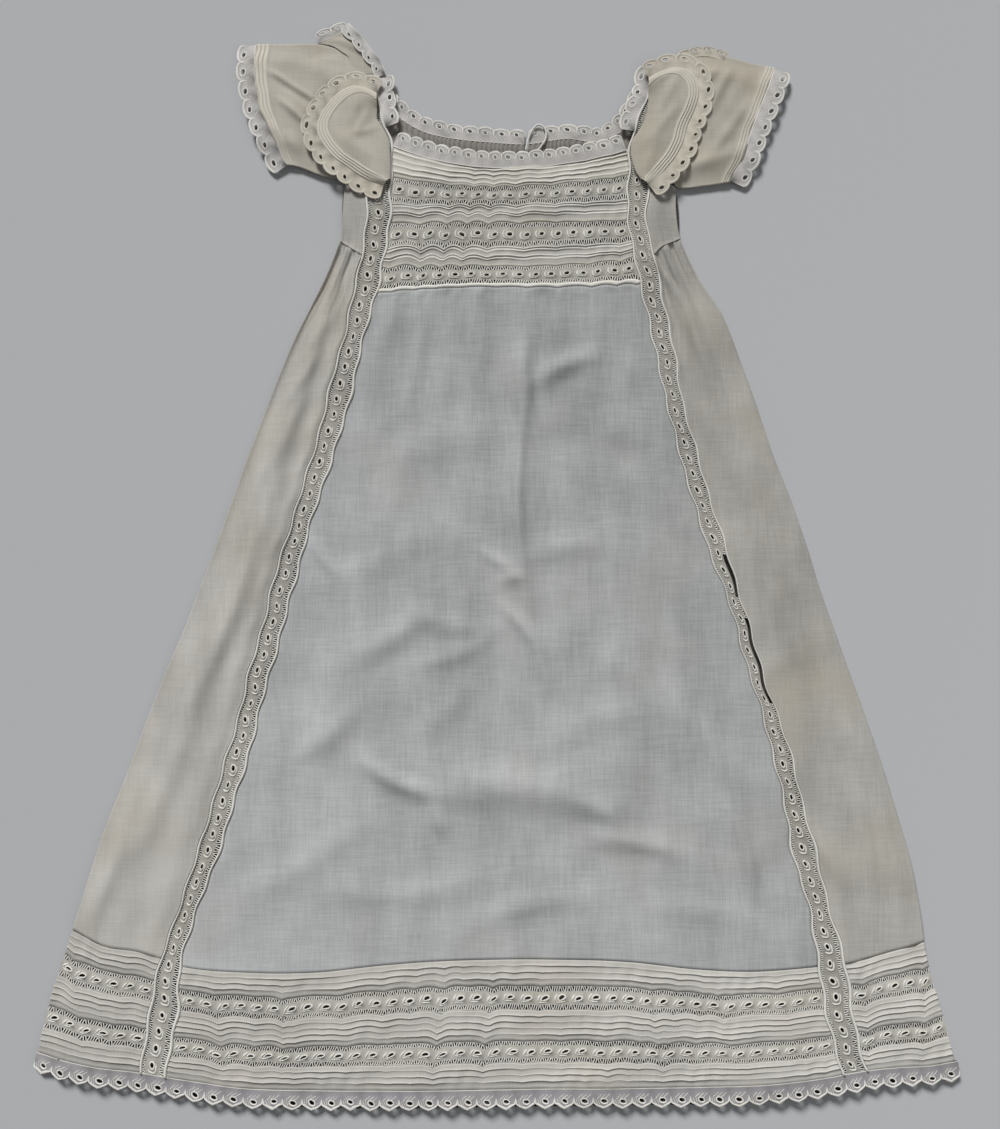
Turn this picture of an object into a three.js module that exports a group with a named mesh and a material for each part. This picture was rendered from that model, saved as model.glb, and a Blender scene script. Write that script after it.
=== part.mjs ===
// A baby's long white cotton gown, laid flat on its back with the front up.
// Millimetres: +X to the viewer's right, +Y towards the neck, +Z up from the table.
// The origin is on the table, under the middle of the gown.
import * as THREE from "three";

// Driving dimensions
const wall = 1.2;
const seam = 0.2;
const settleRounds = 14;
const restTop = 1.2;
const frontTop = 5.4;
const foldTop = 2.75;
const edgeRun = 16;
const tuckRise = 0.9;
const pipeRise = 1.1;
const rimRise = 0.5;
const insertionDip = -0.25;
const insideFollow = 0.6;
const backCentre = 20.6;
const backSlit = 3;
const wingLevel = 8.2;
const wingSwell = 2.6;
const shoulderStart = 298;
const shoulderRun = 26;
const stringWidth = 1.4;
const scallopValley = 0.62;
const scallopRound = 0.7;
const lobePieces = 3;

// Seam lines of the body, one row for each height
const seamRows = [
  { y: -345, sideL: -291.3, robeLOut: -225.8, robeLIn: -207.7, robeRIn: 217.8, robeROut: 236.4, sideR: 290.8 },
  { y: -325, sideL: -290.4, robeLOut: -223.6, robeLIn: -205.6, robeRIn: 213.5, robeROut: 230.0, sideR: 288.2 },
  { y: -300, sideL: -285.6, robeLOut: -220.7, robeLIn: -201.3, robeRIn: 207.5, robeROut: 226.4, sideR: 282.3 },
  { y: -270, sideL: -277.3, robeLOut: -214.0, robeLIn: -200.2, robeRIn: 203.4, robeROut: 221.3, sideR: 274.8 },
  { y: -240, sideL: -268.1, robeLOut: -204.6, robeLIn: -192.1, robeRIn: 199.7, robeROut: 213.7, sideR: 271.7 },
  { y: -210, sideL: -259.7, robeLOut: -194.5, robeLIn: -180.3, robeRIn: 190.8, robeROut: 206.7, sideR: 266.9 },
  { y: -180, sideL: -250.3, robeLOut: -186.1, robeLIn: -171.5, robeRIn: 186.5, robeROut: 199.9, sideR: 259.5 },
  { y: -150, sideL: -239.1, robeLOut: -177.5, robeLIn: -162.6, robeRIn: 180.2, robeROut: 193.1, sideR: 251.0 },
  { y: -120, sideL: -228.7, robeLOut: -169.6, robeLIn: -155.4, robeRIn: 173.9, robeROut: 184.6, sideR: 241.5 },
  { y: -90, sideL: -217.5, robeLOut: -162.4, robeLIn: -148.2, robeRIn: 164.7, robeROut: 174.6, sideR: 231.9 },
  { y: -60, sideL: -205.6, robeLOut: -154.7, robeLIn: -140.0, robeRIn: 157.2, robeROut: 166.5, sideR: 222.0 },
  { y: -30, sideL: -195.0, robeLOut: -147.8, robeLIn: -133.0, robeRIn: 147.6, robeROut: 158.2, sideR: 212.3 },
  { y: 0, sideL: -184.5, robeLOut: -139.5, robeLIn: -125.2, robeRIn: 136.8, robeROut: 149.5, sideR: 203.9 },
  { y: 30, sideL: -174.6, robeLOut: -130.5, robeLIn: -116.9, robeRIn: 128.4, robeROut: 141.0, sideR: 194.2 },
  { y: 60, sideL: -164.6, robeLOut: -122.3, robeLIn: -107.0, robeRIn: 120.6, robeROut: 132.8, sideR: 182.9 },
  { y: 85, sideL: -155.8, robeLOut: -116.1, robeLIn: -100.3, robeRIn: 114.0, robeROut: 126.0, sideR: 175.4 },
  { y: 110, sideL: -146.7, robeLOut: -110.3, robeLIn: -94.1, robeRIn: 109.5, robeROut: 121.9, sideR: 167.4 },
  { y: 135, sideL: -136.8, robeLOut: -103.8, robeLIn: -89.3, robeRIn: 103.7, robeROut: 117.6, sideR: 158.8 },
  { y: 155, sideL: -127.3, robeLOut: -99.5, robeLIn: -84.4, robeRIn: 100.4, robeROut: 114.2, sideR: 150.6 },
  { y: 175, sideL: -117.6, robeLOut: -95.8, robeLIn: -78.1, robeRIn: 96.0, robeROut: 110.5, sideR: 138.2 },
  { y: 190, sideL: -111.5, robeLOut: -93.3, robeLIn: -76.1, robeRIn: 92.7, robeROut: 107.5, sideR: 130.6 },
  { y: 205, sideL: -106.6, robeLOut: -90.7, robeLIn: -73.9, robeRIn: 89.8, robeROut: 103.1, sideR: 124.9 },
  { y: 225, sideL: -105.3, robeLOut: -88.8, robeLIn: -71.3, robeRIn: 88.6, robeROut: 102.4, sideR: 122.2 },
  { y: 245, sideL: -104.2, robeLOut: -89.2, robeLIn: -71.3, robeRIn: 88.8, robeROut: 105.0, sideR: 122.8 },
  { y: 272, sideL: -103.0, robeLOut: -91.5, robeLIn: -71.8, robeRIn: 90.5, robeROut: 109.5, sideR: 123.5 },
  { y: 300, sideL: -101.0, robeLOut: -97.8, robeLIn: -80.0, robeRIn: 100.0, robeROut: 118.5, sideR: 126.5 },
  { y: 330, sideL: -101.0, robeLOut: -99.8, robeLIn: -82.5, robeRIn: 108.5, robeROut: 127.5, sideR: 130.0 },
];

// Hem lines across the skirt: the first tuck and the scallop tips
const hemRows = [
  { x: -294, top: -246, foot: -339.5 },
  { x: -272, top: -252, foot: -344.5 },
  { x: -251, top: -262.0, foot: -348.0 },
  { x: -226, top: -266.0, foot: -350.6 },
  { x: -199, top: -275.0, foot: -354.4 },
  { x: -160, top: -278.3, foot: -359.5 },
  { x: -115, top: -278.2, foot: -361.4 },
  { x: -70, top: -273.8, foot: -362.2 },
  { x: -15, top: -270.4, foot: -361.9 },
  { x: 30, top: -270.2, foot: -361.2 },
  { x: 85, top: -271.8, foot: -360.4 },
  { x: 130, top: -276.6, foot: -359.0 },
  { x: 165, top: -277.8, foot: -357.6 },
  { x: 205, top: -274.5, foot: -353.4 },
  { x: 230, top: -271.0, foot: -349.0 },
  { x: 250, top: -265.5, foot: -347.4 },
  { x: 275, top: -259.5, foot: -346.6 },
  { x: 294, top: -255.0, foot: -344.4 },
];

// Rows of the hem as shares of its depth, from the first tuck to the scallop tips
const hemBands = [
  { name: "upper_tucks", from: 0, to: 0.176, tucks: 3, plain: 0.3 },
  { name: "upper_insertion", from: 0.176, to: 0.338, tucks: 0, plain: 0 },
  { name: "middle_tucks", from: 0.338, to: 0.548, tucks: 4, plain: 0.2 },
  { name: "lower_insertion", from: 0.548, to: 0.695, tucks: 0, plain: 0 },
  { name: "lower_tucks", from: 0.695, to: 0.875, tucks: 3, plain: 0.25 },
];
const hemEdgingFrom = 0.875;

// Yoke lines from the neck down: heights at its left edge, middle and right edge
const yokeLines = [
  { left: 271.7, middle: 255.7, right: 269.2 },
  { left: 248.5, middle: 241.7, right: 250.6 },
  { left: 230.0, middle: 229.3, right: 233.6 },
  { left: 215.9, middle: 216.3, right: 218.0 },
  { left: 199.7, middle: 199.7, right: 203.2 },
  { left: 185.7, middle: 185.7, right: 190.6 },
  { left: 170.4, middle: 173.5, right: 175.9 },
  { left: 168.0, middle: 171.2, right: 173.0 },
];
const yokeLeft = -72;
const yokeMiddle = 8;
const yokeRight = 90;

const yokeBands = [
  { name: "yoke_top_tucks", tucks: 3, plain: 0.2, slot: "tucked" },
  { name: "yoke_insertion_1", tucks: 0, plain: 0, slot: "insertion" },
  { name: "yoke_tucks_1", tucks: 3, plain: 0.15, slot: "tucked" },
  { name: "yoke_insertion_2", tucks: 0, plain: 0, slot: "insertion" },
  { name: "yoke_tucks_2", tucks: 4, plain: 0.1, slot: "tucked" },
  { name: "yoke_insertion_3", tucks: 0, plain: 0, slot: "insertion" },
];

// Soft folds of the skirt: middle, turn of the crest from +X, length, width and height
const folds = [
  { x: 17, y: 106, turn: 90, long: 58, wide: 10, high: 2.0 },
  { x: 45, y: 117, turn: 24, long: 40, wide: 9, high: 1.6 },
  { x: 22, y: 78, turn: 22, long: 100, wide: 17, high: -1.1 },
  { x: 12, y: 15, turn: 90, long: 100, wide: 12, high: 1.7 },
  { x: 20, y: -62, turn: -54, long: 40, wide: 7, high: 1.6 },
  { x: 31, y: -90, turn: -76, long: 26, wide: 6, high: 1.3 },
  { x: -64, y: -159, turn: -25, long: 50, wide: 8, high: 1.9 },
  { x: 22, y: -163, turn: -6, long: 112, wide: 15, high: 2.1 },
  { x: 92, y: -197, turn: -11, long: 56, wide: 9, high: 1.4 },
  { x: 161, y: -207, turn: -80, long: 56, wide: 8, high: 1.8 },
  { x: 140, y: -137, turn: -73, long: 40, wide: 8, high: 1.3 },
  { x: 20, y: -236, turn: 14, long: 78, wide: 10, high: 1.0 },
  { x: 212, y: -205, turn: -58, long: 52, wide: 9, high: 1.5 },
  { x: -155, y: 0, turn: 72, long: 190, wide: 9, high: 1.2 },
  { x: -215, y: -160, turn: 68, long: 170, wide: 10, high: 1.1 },
  { x: 178, y: 0, turn: -71, long: 180, wide: 10, high: 1.2 },
];

// Sleeves: the line where each is sewn into the armhole, by height
const sewnRowsL = [
  { y: 240, x: -93.9 },
  { y: 272, x: -93.9 },
  { y: 300, x: -99.9 },
  { y: 330, x: -102.0 },
];
const sewnRowsR = [
  { y: 235, x: 111.9 },
  { y: 272, x: 111.9 },
  { y: 300, x: 120.5 },
  { y: 333, x: 129.6 },
];
// Left sleeve and right sleeve: the line where the cuff edging starts, by height
const cuffRowsL = [
  { y: 240, x: -140.0 },
  { y: 256, x: -143.5 },
  { y: 262, x: -147.0 },
  { y: 279, x: -155.0 },
  { y: 293, x: -161.0 },
  { y: 308, x: -165.5 },
  { y: 325, x: -168.0 },
  { y: 350, x: -168.0 },
];
const sleeveRowsL = [
  { x: -172, top: 345.2, foot: 262 },
  { x: -150, top: 345.4, foot: 258.8 },
  { x: -136, top: 345.7, foot: 256.9 },
  { x: -121, top: 345.0, foot: 251.1 },
  { x: -108, top: 340.5, foot: 248.6 },
  { x: -103.5, top: 336.5, foot: 251.8 },
  { x: -98, top: 331.5, foot: 259.8 },
  { x: -93.4, top: 326.5, foot: 271.8 },
  { x: -90, top: 322.5, foot: 281.0 },
];
const cuffRowsR = [
  { y: 235, x: 157.0 },
  { y: 246, x: 160.0 },
  { y: 262, x: 168.0 },
  { y: 279, x: 174.0 },
  { y: 296, x: 180.5 },
  { y: 312, x: 187.0 },
  { y: 330, x: 193.5 },
];
const sleeveRowsR = [
  { x: 108, top: 331.0, foot: 280.0 },
  { x: 111.8, top: 332.3, foot: 268.0 },
  { x: 115, top: 333.5, foot: 254.2 },
  { x: 118.5, top: 335.0, foot: 248.8 },
  { x: 123.6, top: 336.5, foot: 242.2 },
  { x: 142, top: 337.6, foot: 243.3 },
  { x: 158, top: 336.6, foot: 245.6 },
  { x: 174, top: 332.0, foot: 247.0 },
  { x: 196, top: 327.0, foot: 250.0 },
];

// Shoulder frills: where each is sewn on, where its edging starts, both from top to bottom
const wingRowsL = [
  { sewnX: -84.0, sewnY: 316.0, rimX: -95.0, rimY: 309.0 },
  { sewnX: -83.6, sewnY: 312.0, rimX: -106.0, rimY: 308.6 },
  { sewnX: -83.2, sewnY: 307.0, rimX: -114.0, rimY: 304.0 },
  { sewnX: -82.5, sewnY: 301.0, rimX: -120.5, rimY: 296.0 },
  { sewnX: -81.5, sewnY: 294.0, rimX: -124.2, rimY: 287.0 },
  { sewnX: -79.0, sewnY: 287.0, rimX: -124.0, rimY: 278.5 },
  { sewnX: -75.5, sewnY: 281.0, rimX: -120.5, rimY: 270.0 },
  { sewnX: -73.0, sewnY: 274.0, rimX: -114.5, rimY: 263.5 },
  { sewnX: -72.5, sewnY: 266.0, rimX: -106.0, rimY: 258.5 },
  { sewnX: -72.3, sewnY: 259.0, rimX: -97.0, rimY: 253.5 },
  { sewnX: -72.2, sewnY: 254.0, rimX: -88.5, rimY: 247.0 },
  { sewnX: -72.2, sewnY: 249.5, rimX: -80.0, rimY: 243.0 },
];
const wingRowsR = [
  { sewnX: 108.4, sewnY: 326.5, rimX: 113.0, rimY: 329.6 },
  { sewnX: 106.5, sewnY: 322.0, rimX: 125.0, rimY: 326.0 },
  { sewnX: 104.5, sewnY: 315.0, rimX: 134.0, rimY: 321.0 },
  { sewnX: 103.5, sewnY: 307.0, rimX: 137.6, rimY: 312.5 },
  { sewnX: 103.0, sewnY: 299.0, rimX: 135.5, rimY: 302.5 },
  { sewnX: 101.0, sewnY: 290.0, rimX: 131.0, rimY: 293.0 },
  { sewnX: 97.0, sewnY: 281.0, rimX: 129.0, rimY: 283.0 },
  { sewnX: 92.5, sewnY: 274.0, rimX: 127.5, rimY: 272.5 },
  { sewnX: 91.0, sewnY: 266.0, rimX: 122.5, rimY: 262.5 },
  { sewnX: 92.2, sewnY: 258.0, rimX: 116.0, rimY: 254.0 },
  { sewnX: 94.5, sewnY: 251.0, rimX: 109.5, rimY: 246.5 },
  { sewnX: 97.5, sewnY: 246.0, rimX: 103.0, rimY: 242.0 },
];

// Cloth colours, from the cool front panel to the warm sides
const tones = {
  front: 0xb4b6b2,
  side: 0xbab4a6,
  back: 0xb4ada0,
  tucked: 0xcdc8bb,
  insertion: 0xa8a497,
  edging: 0xc9c5b9,
  string: 0xc8c0b0,
};
const clothRoughness = 0.95;

// A smooth reading of one column of a table whose rows run along another column
function reader(rows, along, column) {
  const slope = rows.map((row, i) => {
    const before = rows[Math.max(i - 1, 0)];
    const after = rows[Math.min(i + 1, rows.length - 1)];
    return (after[column] - before[column]) / (after[along] - before[along]);
  });
  return (s) => {
    let i = 0;
    while (i < rows.length - 2 && rows[i + 1][along] < s) {
      i += 1;
    }
    const a = rows[i];
    const b = rows[i + 1];
    const span = b[along] - a[along];
    const t = (s - a[along]) / span;
    if (t < 0 || t > 1) {
      const end = t < 0 ? i : i + 1;
      return rows[end][column] + slope[end] * (s - rows[end][along]);
    }
    const h = t * t * (3 - 2 * t);
    const bend = t * (1 - t) * span;
    return a[column] * (1 - h) + b[column] * h + bend * ((1 - t) * slope[i] - t * slope[i + 1]);
  };
}

const sideL = reader(seamRows, "y", "sideL");
const robeLOut = reader(seamRows, "y", "robeLOut");
const robeLIn = reader(seamRows, "y", "robeLIn");
const robeRIn = reader(seamRows, "y", "robeRIn");
const robeROut = reader(seamRows, "y", "robeROut");
const sideR = reader(seamRows, "y", "sideR");
const hemTop = reader(hemRows, "x", "top");
const hemFoot = reader(hemRows, "x", "foot");
const hemLine = (share) => (x) => hemTop(x) + (hemFoot(x) - hemTop(x)) * share;

// A yoke line is a parabola through its three heights
function yokeLine(row) {
  const reachL = yokeMiddle - yokeLeft;
  const reachR = yokeRight - yokeMiddle;
  return (x) => {
    const t = x < yokeMiddle ? (yokeMiddle - x) / reachL : (x - yokeMiddle) / reachR;
    return row.middle + ((x < yokeMiddle ? row.left : row.right) - row.middle) * t * t;
  };
}

const smooth = (t) => {
  const c = Math.min(Math.max(t, 0), 1);
  return c * c * (3 - 2 * c);
};

function foldHeight(x, y) {
  let sum = 0;
  for (const f of folds) {
    const turn = (f.turn * Math.PI) / 180;
    const along = ((x - f.x) * Math.cos(turn) + (y - f.y) * Math.sin(turn)) / (f.long / 2);
    const across = ((y - f.y) * Math.cos(turn) - (x - f.x) * Math.sin(turn)) / f.wide;
    sum += f.high * Math.exp(-across * across - along * along * along * along);
  }
  return sum;
}

// Height of the front's outer face: it comes down to the back at the side seams and shoulders
function bodyLevel(x, y) {
  const inFromSide = Math.min(x - sideL(y), sideR(y) - x) / edgeRun;
  const downShoulder = smooth((y - shoulderStart) / shoulderRun);
  return foldTop + (frontTop - foldTop) * smooth(inFromSide) * (1 - downShoulder);
}

const frontFace = {
  outer: (x, y) => bodyLevel(x, y) + foldHeight(x, y),
  inner: (x, y) => bodyLevel(x, y) - wall + insideFollow * foldHeight(x, y),
};
const backFace = {
  outer: () => restTop,
  inner: () => restTop - wall,
};

// A closed wall through cross-sections: each has outer points and inside points in the same order
function loft(sections) {
  const outerCount = sections[0].outer.length;
  const innerCount = sections[0].inner.length;
  const count = outerCount + innerCount;
  const position = [];
  const index = [];
  for (const s of sections) {
    position.push(...s.outer.flat(), ...[...s.inner].reverse().flat());
  }
  for (let r = 0; r + 1 < sections.length; r += 1) {
    for (let k = 0; k < count; k += 1) {
      const a = r * count + k;
      const b = r * count + ((k + 1) % count);
      index.push(a, b, b + count, a, b + count, a + count);
    }
  }
  // The end faces zip the outer points to the inside points
  for (const end of [0, sections.length - 1]) {
    const s = sections[end];
    const start = end * count;
    const reach = (list, i) => Math.hypot(list[i][0] - s.outer[0][0], list[i][1] - s.outer[0][1]);
    let i = 0;
    let j = 0;
    while (i < outerCount - 1 || j < innerCount - 1) {
      const outerNext = i < outerCount - 1 ? reach(s.outer, i + 1) : Infinity;
      const innerNext = j < innerCount - 1 ? reach(s.inner, j + 1) : Infinity;
      const here = start + i;
      const under = start + count - 1 - j;
      const next = outerNext <= innerNext ? start + i + 1 : under - 1;
      index.push(...(end === 0 ? [here, under, next] : [here, next, under]));
      if (outerNext <= innerNext) {
        i += 1;
      } else {
        j += 1;
      }
    }
  }
  let volume = 0;
  const corner = (k) => new THREE.Vector3().fromArray(position, index[k] * 3);
  for (let k = 0; k < index.length; k += 3) {
    volume += corner(k).dot(corner(k + 1).cross(corner(k + 2)));
  }
  if (volume < 0) {
    index.reverse();
  }
  const geometry = new THREE.BufferGeometry();
  geometry.setAttribute("position", new THREE.Float32BufferAttribute(position, 3));
  geometry.setIndex(index);
  geometry.computeVertexNormals();
  return geometry;
}

// A panel between four seam lines; u runs from its left line to its right, v from top to foot
function spot(panel, u, v) {
  let y = panel.middle;
  let x = 0;
  for (let k = 0; k < settleRounds; k += 1) {
    const left = panel.left(y) + seam;
    const right = panel.right(y) - seam;
    x = left + (right - left) * u;
    const top = panel.top(x) - seam;
    const foot = panel.foot(x) + seam;
    y = (y + 2 * (top + (foot - top) * v)) / 3;
  }
  return [x, y];
}

const steps = (count) => Array.from({ length: count + 1 }, (_, i) => i / count);
const flat = (count) => steps(count).map((at) => ({ at, lift: 0 }));

// Outer points of a tucked strip: each tuck rises to a crest, then drops to the next one
function tuckProfile(count, plain) {
  const pitch = (1 - plain) / count;
  const points = [{ at: 0, lift: 0 }];
  for (let k = 0; k < count; k += 1) {
    points.push({ at: (k + 0.8) * pitch, lift: tuckRise });
    points.push({ at: (k + 1) * pitch, lift: 0 });
  }
  points.push({ at: 1, lift: 0 });
  return points;
}
const insertionProfile = [
  { at: 0, lift: 0 },
  { at: 0.12, lift: insertionDip },
  { at: 0.88, lift: insertionDip },
  { at: 1, lift: 0 },
];
const robingProfile = [
  { at: 0, lift: 0 },
  { at: 0.07, lift: pipeRise },
  { at: 0.15, lift: 0 },
  { at: 0.85, lift: 0 },
  { at: 0.93, lift: pipeRise },
  { at: 1, lift: 0 },
];
const pipingProfile = [
  { at: 0, lift: 0 },
  { at: 0.5, lift: pipeRise },
  { at: 1, lift: 0 },
];

// The wall of a panel: its profile lies across the stations
function panelWall(panel, face, stations, profile, inside, crosswise) {
  const place = (station, at) => (crosswise ? spot(panel, station, at) : spot(panel, at, station));
  return loft(
    stations.map((station) => ({
      outer: profile.map((p) => {
        const [x, y] = place(station, p.at);
        return [x, y, face.outer(x, y) + p.lift];
      }),
      inner: inside.map((at) => {
        const [x, y] = place(station, at);
        return [x, y, face.inner(x, y)];
      }),
    })),
  );
}

// Scalloped edging along a line: it reaches to the right hand of the line's direction
function edgingWall(line, reach, count, pieces, level, rim = rimRise) {
  const curve = new THREE.CatmullRomCurve3(line.map(([x, y]) => new THREE.Vector3(x, y, 0)));
  const total = count * pieces;
  return loft(
    steps(total).map((u, i) => {
      const p = curve.getPointAt(u);
      const t = curve.getTangentAt(u);
      const lobe = Math.abs(Math.sin((Math.PI * i) / pieces)) ** scallopRound;
      const out = reach * (scallopValley + (1 - scallopValley) * lobe);
      const x = p.x + t.y * out;
      const y = p.y - t.x * out;
      return {
        outer: [
          [p.x, p.y, level(p.x, p.y)],
          [x, y, level(x, y) + rim],
        ],
        inner: [
          [p.x, p.y, level(p.x, p.y) - wall],
          [x, y, level(x, y) - wall],
        ],
      };
    }),
  );
}

const gown = new THREE.Group();
function add(name, geometry, tone) {
  const cloth = new THREE.MeshStandardMaterial({ color: tones[tone], roughness: clothRoughness, metalness: 0 });
  const mesh = new THREE.Mesh(geometry, cloth);
  mesh.name = name;
  gown.add(mesh);
}

const mid = (a, b) => (a + b) / 2;
const fixed = (value) => () => value;
const shifted = (line, by) => (s) => line(s) + by;

// Back skirt, gathered into the waist
const waistY = 199;
const backHemGap = 0.8;
const backSkirt = {
  left: sideL,
  right: sideR,
  top: fixed(waistY),
  foot: shifted(hemLine(hemEdgingFrom), backHemGap),
  middle: -70,
};
add("back_skirt", panelWall(backSkirt, backFace, steps(16), flat(10), steps(10), false), "back");

// The line of the back edging runs just inside the side seams
const edgingEnds = 292;
const edgingSpan = (share) =>
  steps(16).map((u) => {
    const x = 2 * edgingEnds * u - edgingEnds;
    return [x, hemLine(share)(x) - 4 * seam];
  });
const hemReach = 11.2;
const hemScallops = 48;
const backRim = 0.2;
const backHem = edgingWall(edgingSpan(hemEdgingFrom), hemReach, 20, 1, backFace.outer, backRim);
add("back_hem_edging", backHem, "edging");

// Back bodice, open down the middle
const neckRows = [
  { x: -101, y: 319 },
  { x: -90, y: 317 },
  { x: -82, y: 310 },
  { x: -74, y: 299 },
  { x: -54, y: 284.5 },
  { x: -33, y: 278.5 },
  { x: -1, y: 275 },
  { x: 21, y: 274 },
  { x: 48, y: 278 },
  { x: 70, y: 275.5 },
  { x: 86, y: 284 },
  { x: 96, y: 298 },
  { x: 104, y: 311 },
  { x: 113, y: 318 },
  { x: 128, y: 322 },
];
const backNeck = reader(neckRows, "x", "y");
const armRowsL = [
  { y: 190, x: -106 },
  { y: 246, x: -104.5 },
  { y: 258, x: -97 },
  { y: 272, x: -92.6 },
  { y: 300, x: -98.2 },
  { y: 330, x: -100.4 },
];
const armRowsR = [
  { y: 190, x: 124 },
  { y: 240, x: 122.6 },
  { y: 252, x: 114.5 },
  { y: 272, x: 110.6 },
  { y: 300, x: 119.2 },
  { y: 333, x: 128.6 },
];
const armL = reader(armRowsL, "y", "x");
const armR = reader(armRowsR, "y", "x");
const slitL = fixed(backCentre - backSlit / 2);
const slitR = fixed(backCentre + backSlit / 2);
const neckGap = 1.1;
const backHalves = [
  { side: "left", left: armL, right: slitL },
  { side: "right", left: slitR, right: armR },
];
for (const half of backHalves) {
  const panel = { left: half.left, right: half.right, top: backNeck, foot: fixed(waistY), middle: 240 };
  add(`back_bodice_${half.side}`, panelWall(panel, backFace, steps(16), flat(7), steps(7), true), "back");
}

// Side panels and front panel of the skirt
const waistRowsL = [
  { x: -106, y: 204.6 },
  { x: -99, y: 199.5 },
  { x: -92, y: 194.8 },
];
const waistRowsR = [
  { x: 106, y: 194.0 },
  { x: 111, y: 199.6 },
  { x: 124, y: 206.6 },
];
const lineGap = 0.75;
const waistL = reader(waistRowsL, "x", "y");
const waistR = reader(waistRowsR, "x", "y");
const sidePanels = [
  { side: "left", left: sideL, right: robeLOut, top: shifted(waistL, -lineGap), foot: hemTop, middle: -40 },
  { side: "right", left: robeROut, right: sideR, top: shifted(waistR, -lineGap), foot: hemTop, middle: -40 },
];
for (const panel of sidePanels) {
  const wallShape = panelWall(panel, frontFace, steps(22), flat(4), steps(4), false);
  add(`front_skirt_side_${panel.side}`, wallShape, "side");
}
const yoke = yokeLines.map(yokeLine);
const centrePanel = { left: robeLIn, right: robeRIn, top: yoke[7], foot: hemTop, middle: -40 };
add("front_skirt_centre", panelWall(centrePanel, frontFace, steps(22), flat(16), steps(16), false), "front");

// Bodice sides under the arms
const underarmRowsL = [
  { x: -107, y: 245.5 },
  { x: -97, y: 256.0 },
  { x: -88, y: 268.0 },
];
const underarmRowsR = [
  { x: 103, y: 266.0 },
  { x: 114, y: 250.0 },
  { x: 124, y: 240.0 },
];
const underarmL = reader(underarmRowsL, "x", "y");
const underarmR = reader(underarmRowsR, "x", "y");
const bodiceSides = [
  { side: "left", left: sideL, right: shifted(robeLOut, -lineGap), top: underarmL, foot: waistL, middle: 225 },
  { side: "right", left: shifted(robeROut, lineGap), right: sideR, top: underarmR, foot: waistR, middle: 225 },
];
for (const panel of bodiceSides) {
  add(`bodice_side_${panel.side}`, panelWall(panel, frontFace, steps(6), flat(4), [0, 0.5, 1], false), "side");
}

// Yoke: tucked strips between openwork insertions, closed below by a piped seam
yokeBands.forEach((band, i) => {
  const panel = { left: robeLIn, right: robeRIn, top: yoke[i], foot: yoke[i + 1], middle: mid(250, 180) };
  const profile = band.tucks ? tuckProfile(band.tucks, band.plain) : insertionProfile;
  add(band.name, panelWall(panel, frontFace, steps(9), profile, [0, 1], true), band.slot);
});
const pipingPanel = { left: robeLIn, right: robeRIn, top: yoke[6], foot: yoke[7], middle: 171 };
add("yoke_piping", panelWall(pipingPanel, frontFace, steps(9), pipingProfile, [0, 1], true), "tucked");

// Robings: openwork bands with piped edges from the shoulders to the hem
const robingTop = 324;
const robings = [
  { side: "left", left: robeLOut, right: robeLIn, top: fixed(robingTop), foot: hemLine(hemEdgingFrom), middle: 0 },
  { side: "right", left: robeRIn, right: robeROut, top: fixed(robingTop + 3), foot: hemLine(hemEdgingFrom), middle: 0 },
];
for (const panel of robings) {
  add(`robing_${panel.side}`, panelWall(panel, frontFace, steps(36), robingProfile, [0, 1], false), "insertion");
}

// Hem rows, cut by the two robings
const hemParts = [
  { side: "left", left: sideL, right: robeLOut, columns: 5 },
  { side: "centre", left: robeLIn, right: robeRIn, columns: 16 },
  { side: "right", left: shifted(robeROut, seam), right: sideR, columns: 5 },
];
for (const band of hemBands) {
  for (const part of hemParts) {
    const panel = {
      left: part.left,
      right: part.right,
      top: hemLine(band.from),
      foot: hemLine(band.to),
      middle: -310,
    };
    const profile = band.tucks ? tuckProfile(band.tucks, band.plain) : insertionProfile;
    const shape = panelWall(panel, frontFace, steps(part.columns), profile, [0, 1], true);
    add(`hem_${band.name}_${part.side}`, shape, band.tucks ? "tucked" : "insertion");
  }
}
const hemLevel = (x, y) => bodyLevel(x, y);
add("hem_edging", edgingWall(edgingSpan(hemEdgingFrom), hemReach, hemScallops, lobePieces, hemLevel), "edging");

// Sleeves: a flat tube each, with three tucks beside the cuff edging
const sleeveInset = 1.2;
const sleeves = [
  {
    side: "left",
    left: reader(cuffRowsL, "y", "x"),
    right: reader(sewnRowsL, "y", "x"),
    top: reader(sleeveRowsL, "x", "top"),
    foot: reader(sleeveRowsL, "x", "foot"),
    middle: 300,
    flip: false,
  },
  {
    side: "right",
    left: reader(sewnRowsR, "y", "x"),
    right: reader(cuffRowsR, "y", "x"),
    top: reader(sleeveRowsR, "x", "top"),
    foot: reader(sleeveRowsR, "x", "foot"),
    middle: 290,
    flip: true,
  },
];
const sleeveProfile = [
  { at: 0, lift: 0 },
  { at: 0.03, lift: 0 },
  { at: 0.06, lift: tuckRise },
  { at: 0.08, lift: 0 },
  { at: 0.11, lift: tuckRise },
  { at: 0.13, lift: 0 },
  { at: 0.16, lift: tuckRise },
  { at: 0.19, lift: 0 },
  { at: 0.45, lift: 0.5 },
  { at: 0.72, lift: 0.4 },
  { at: 1, lift: 0 },
];
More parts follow.
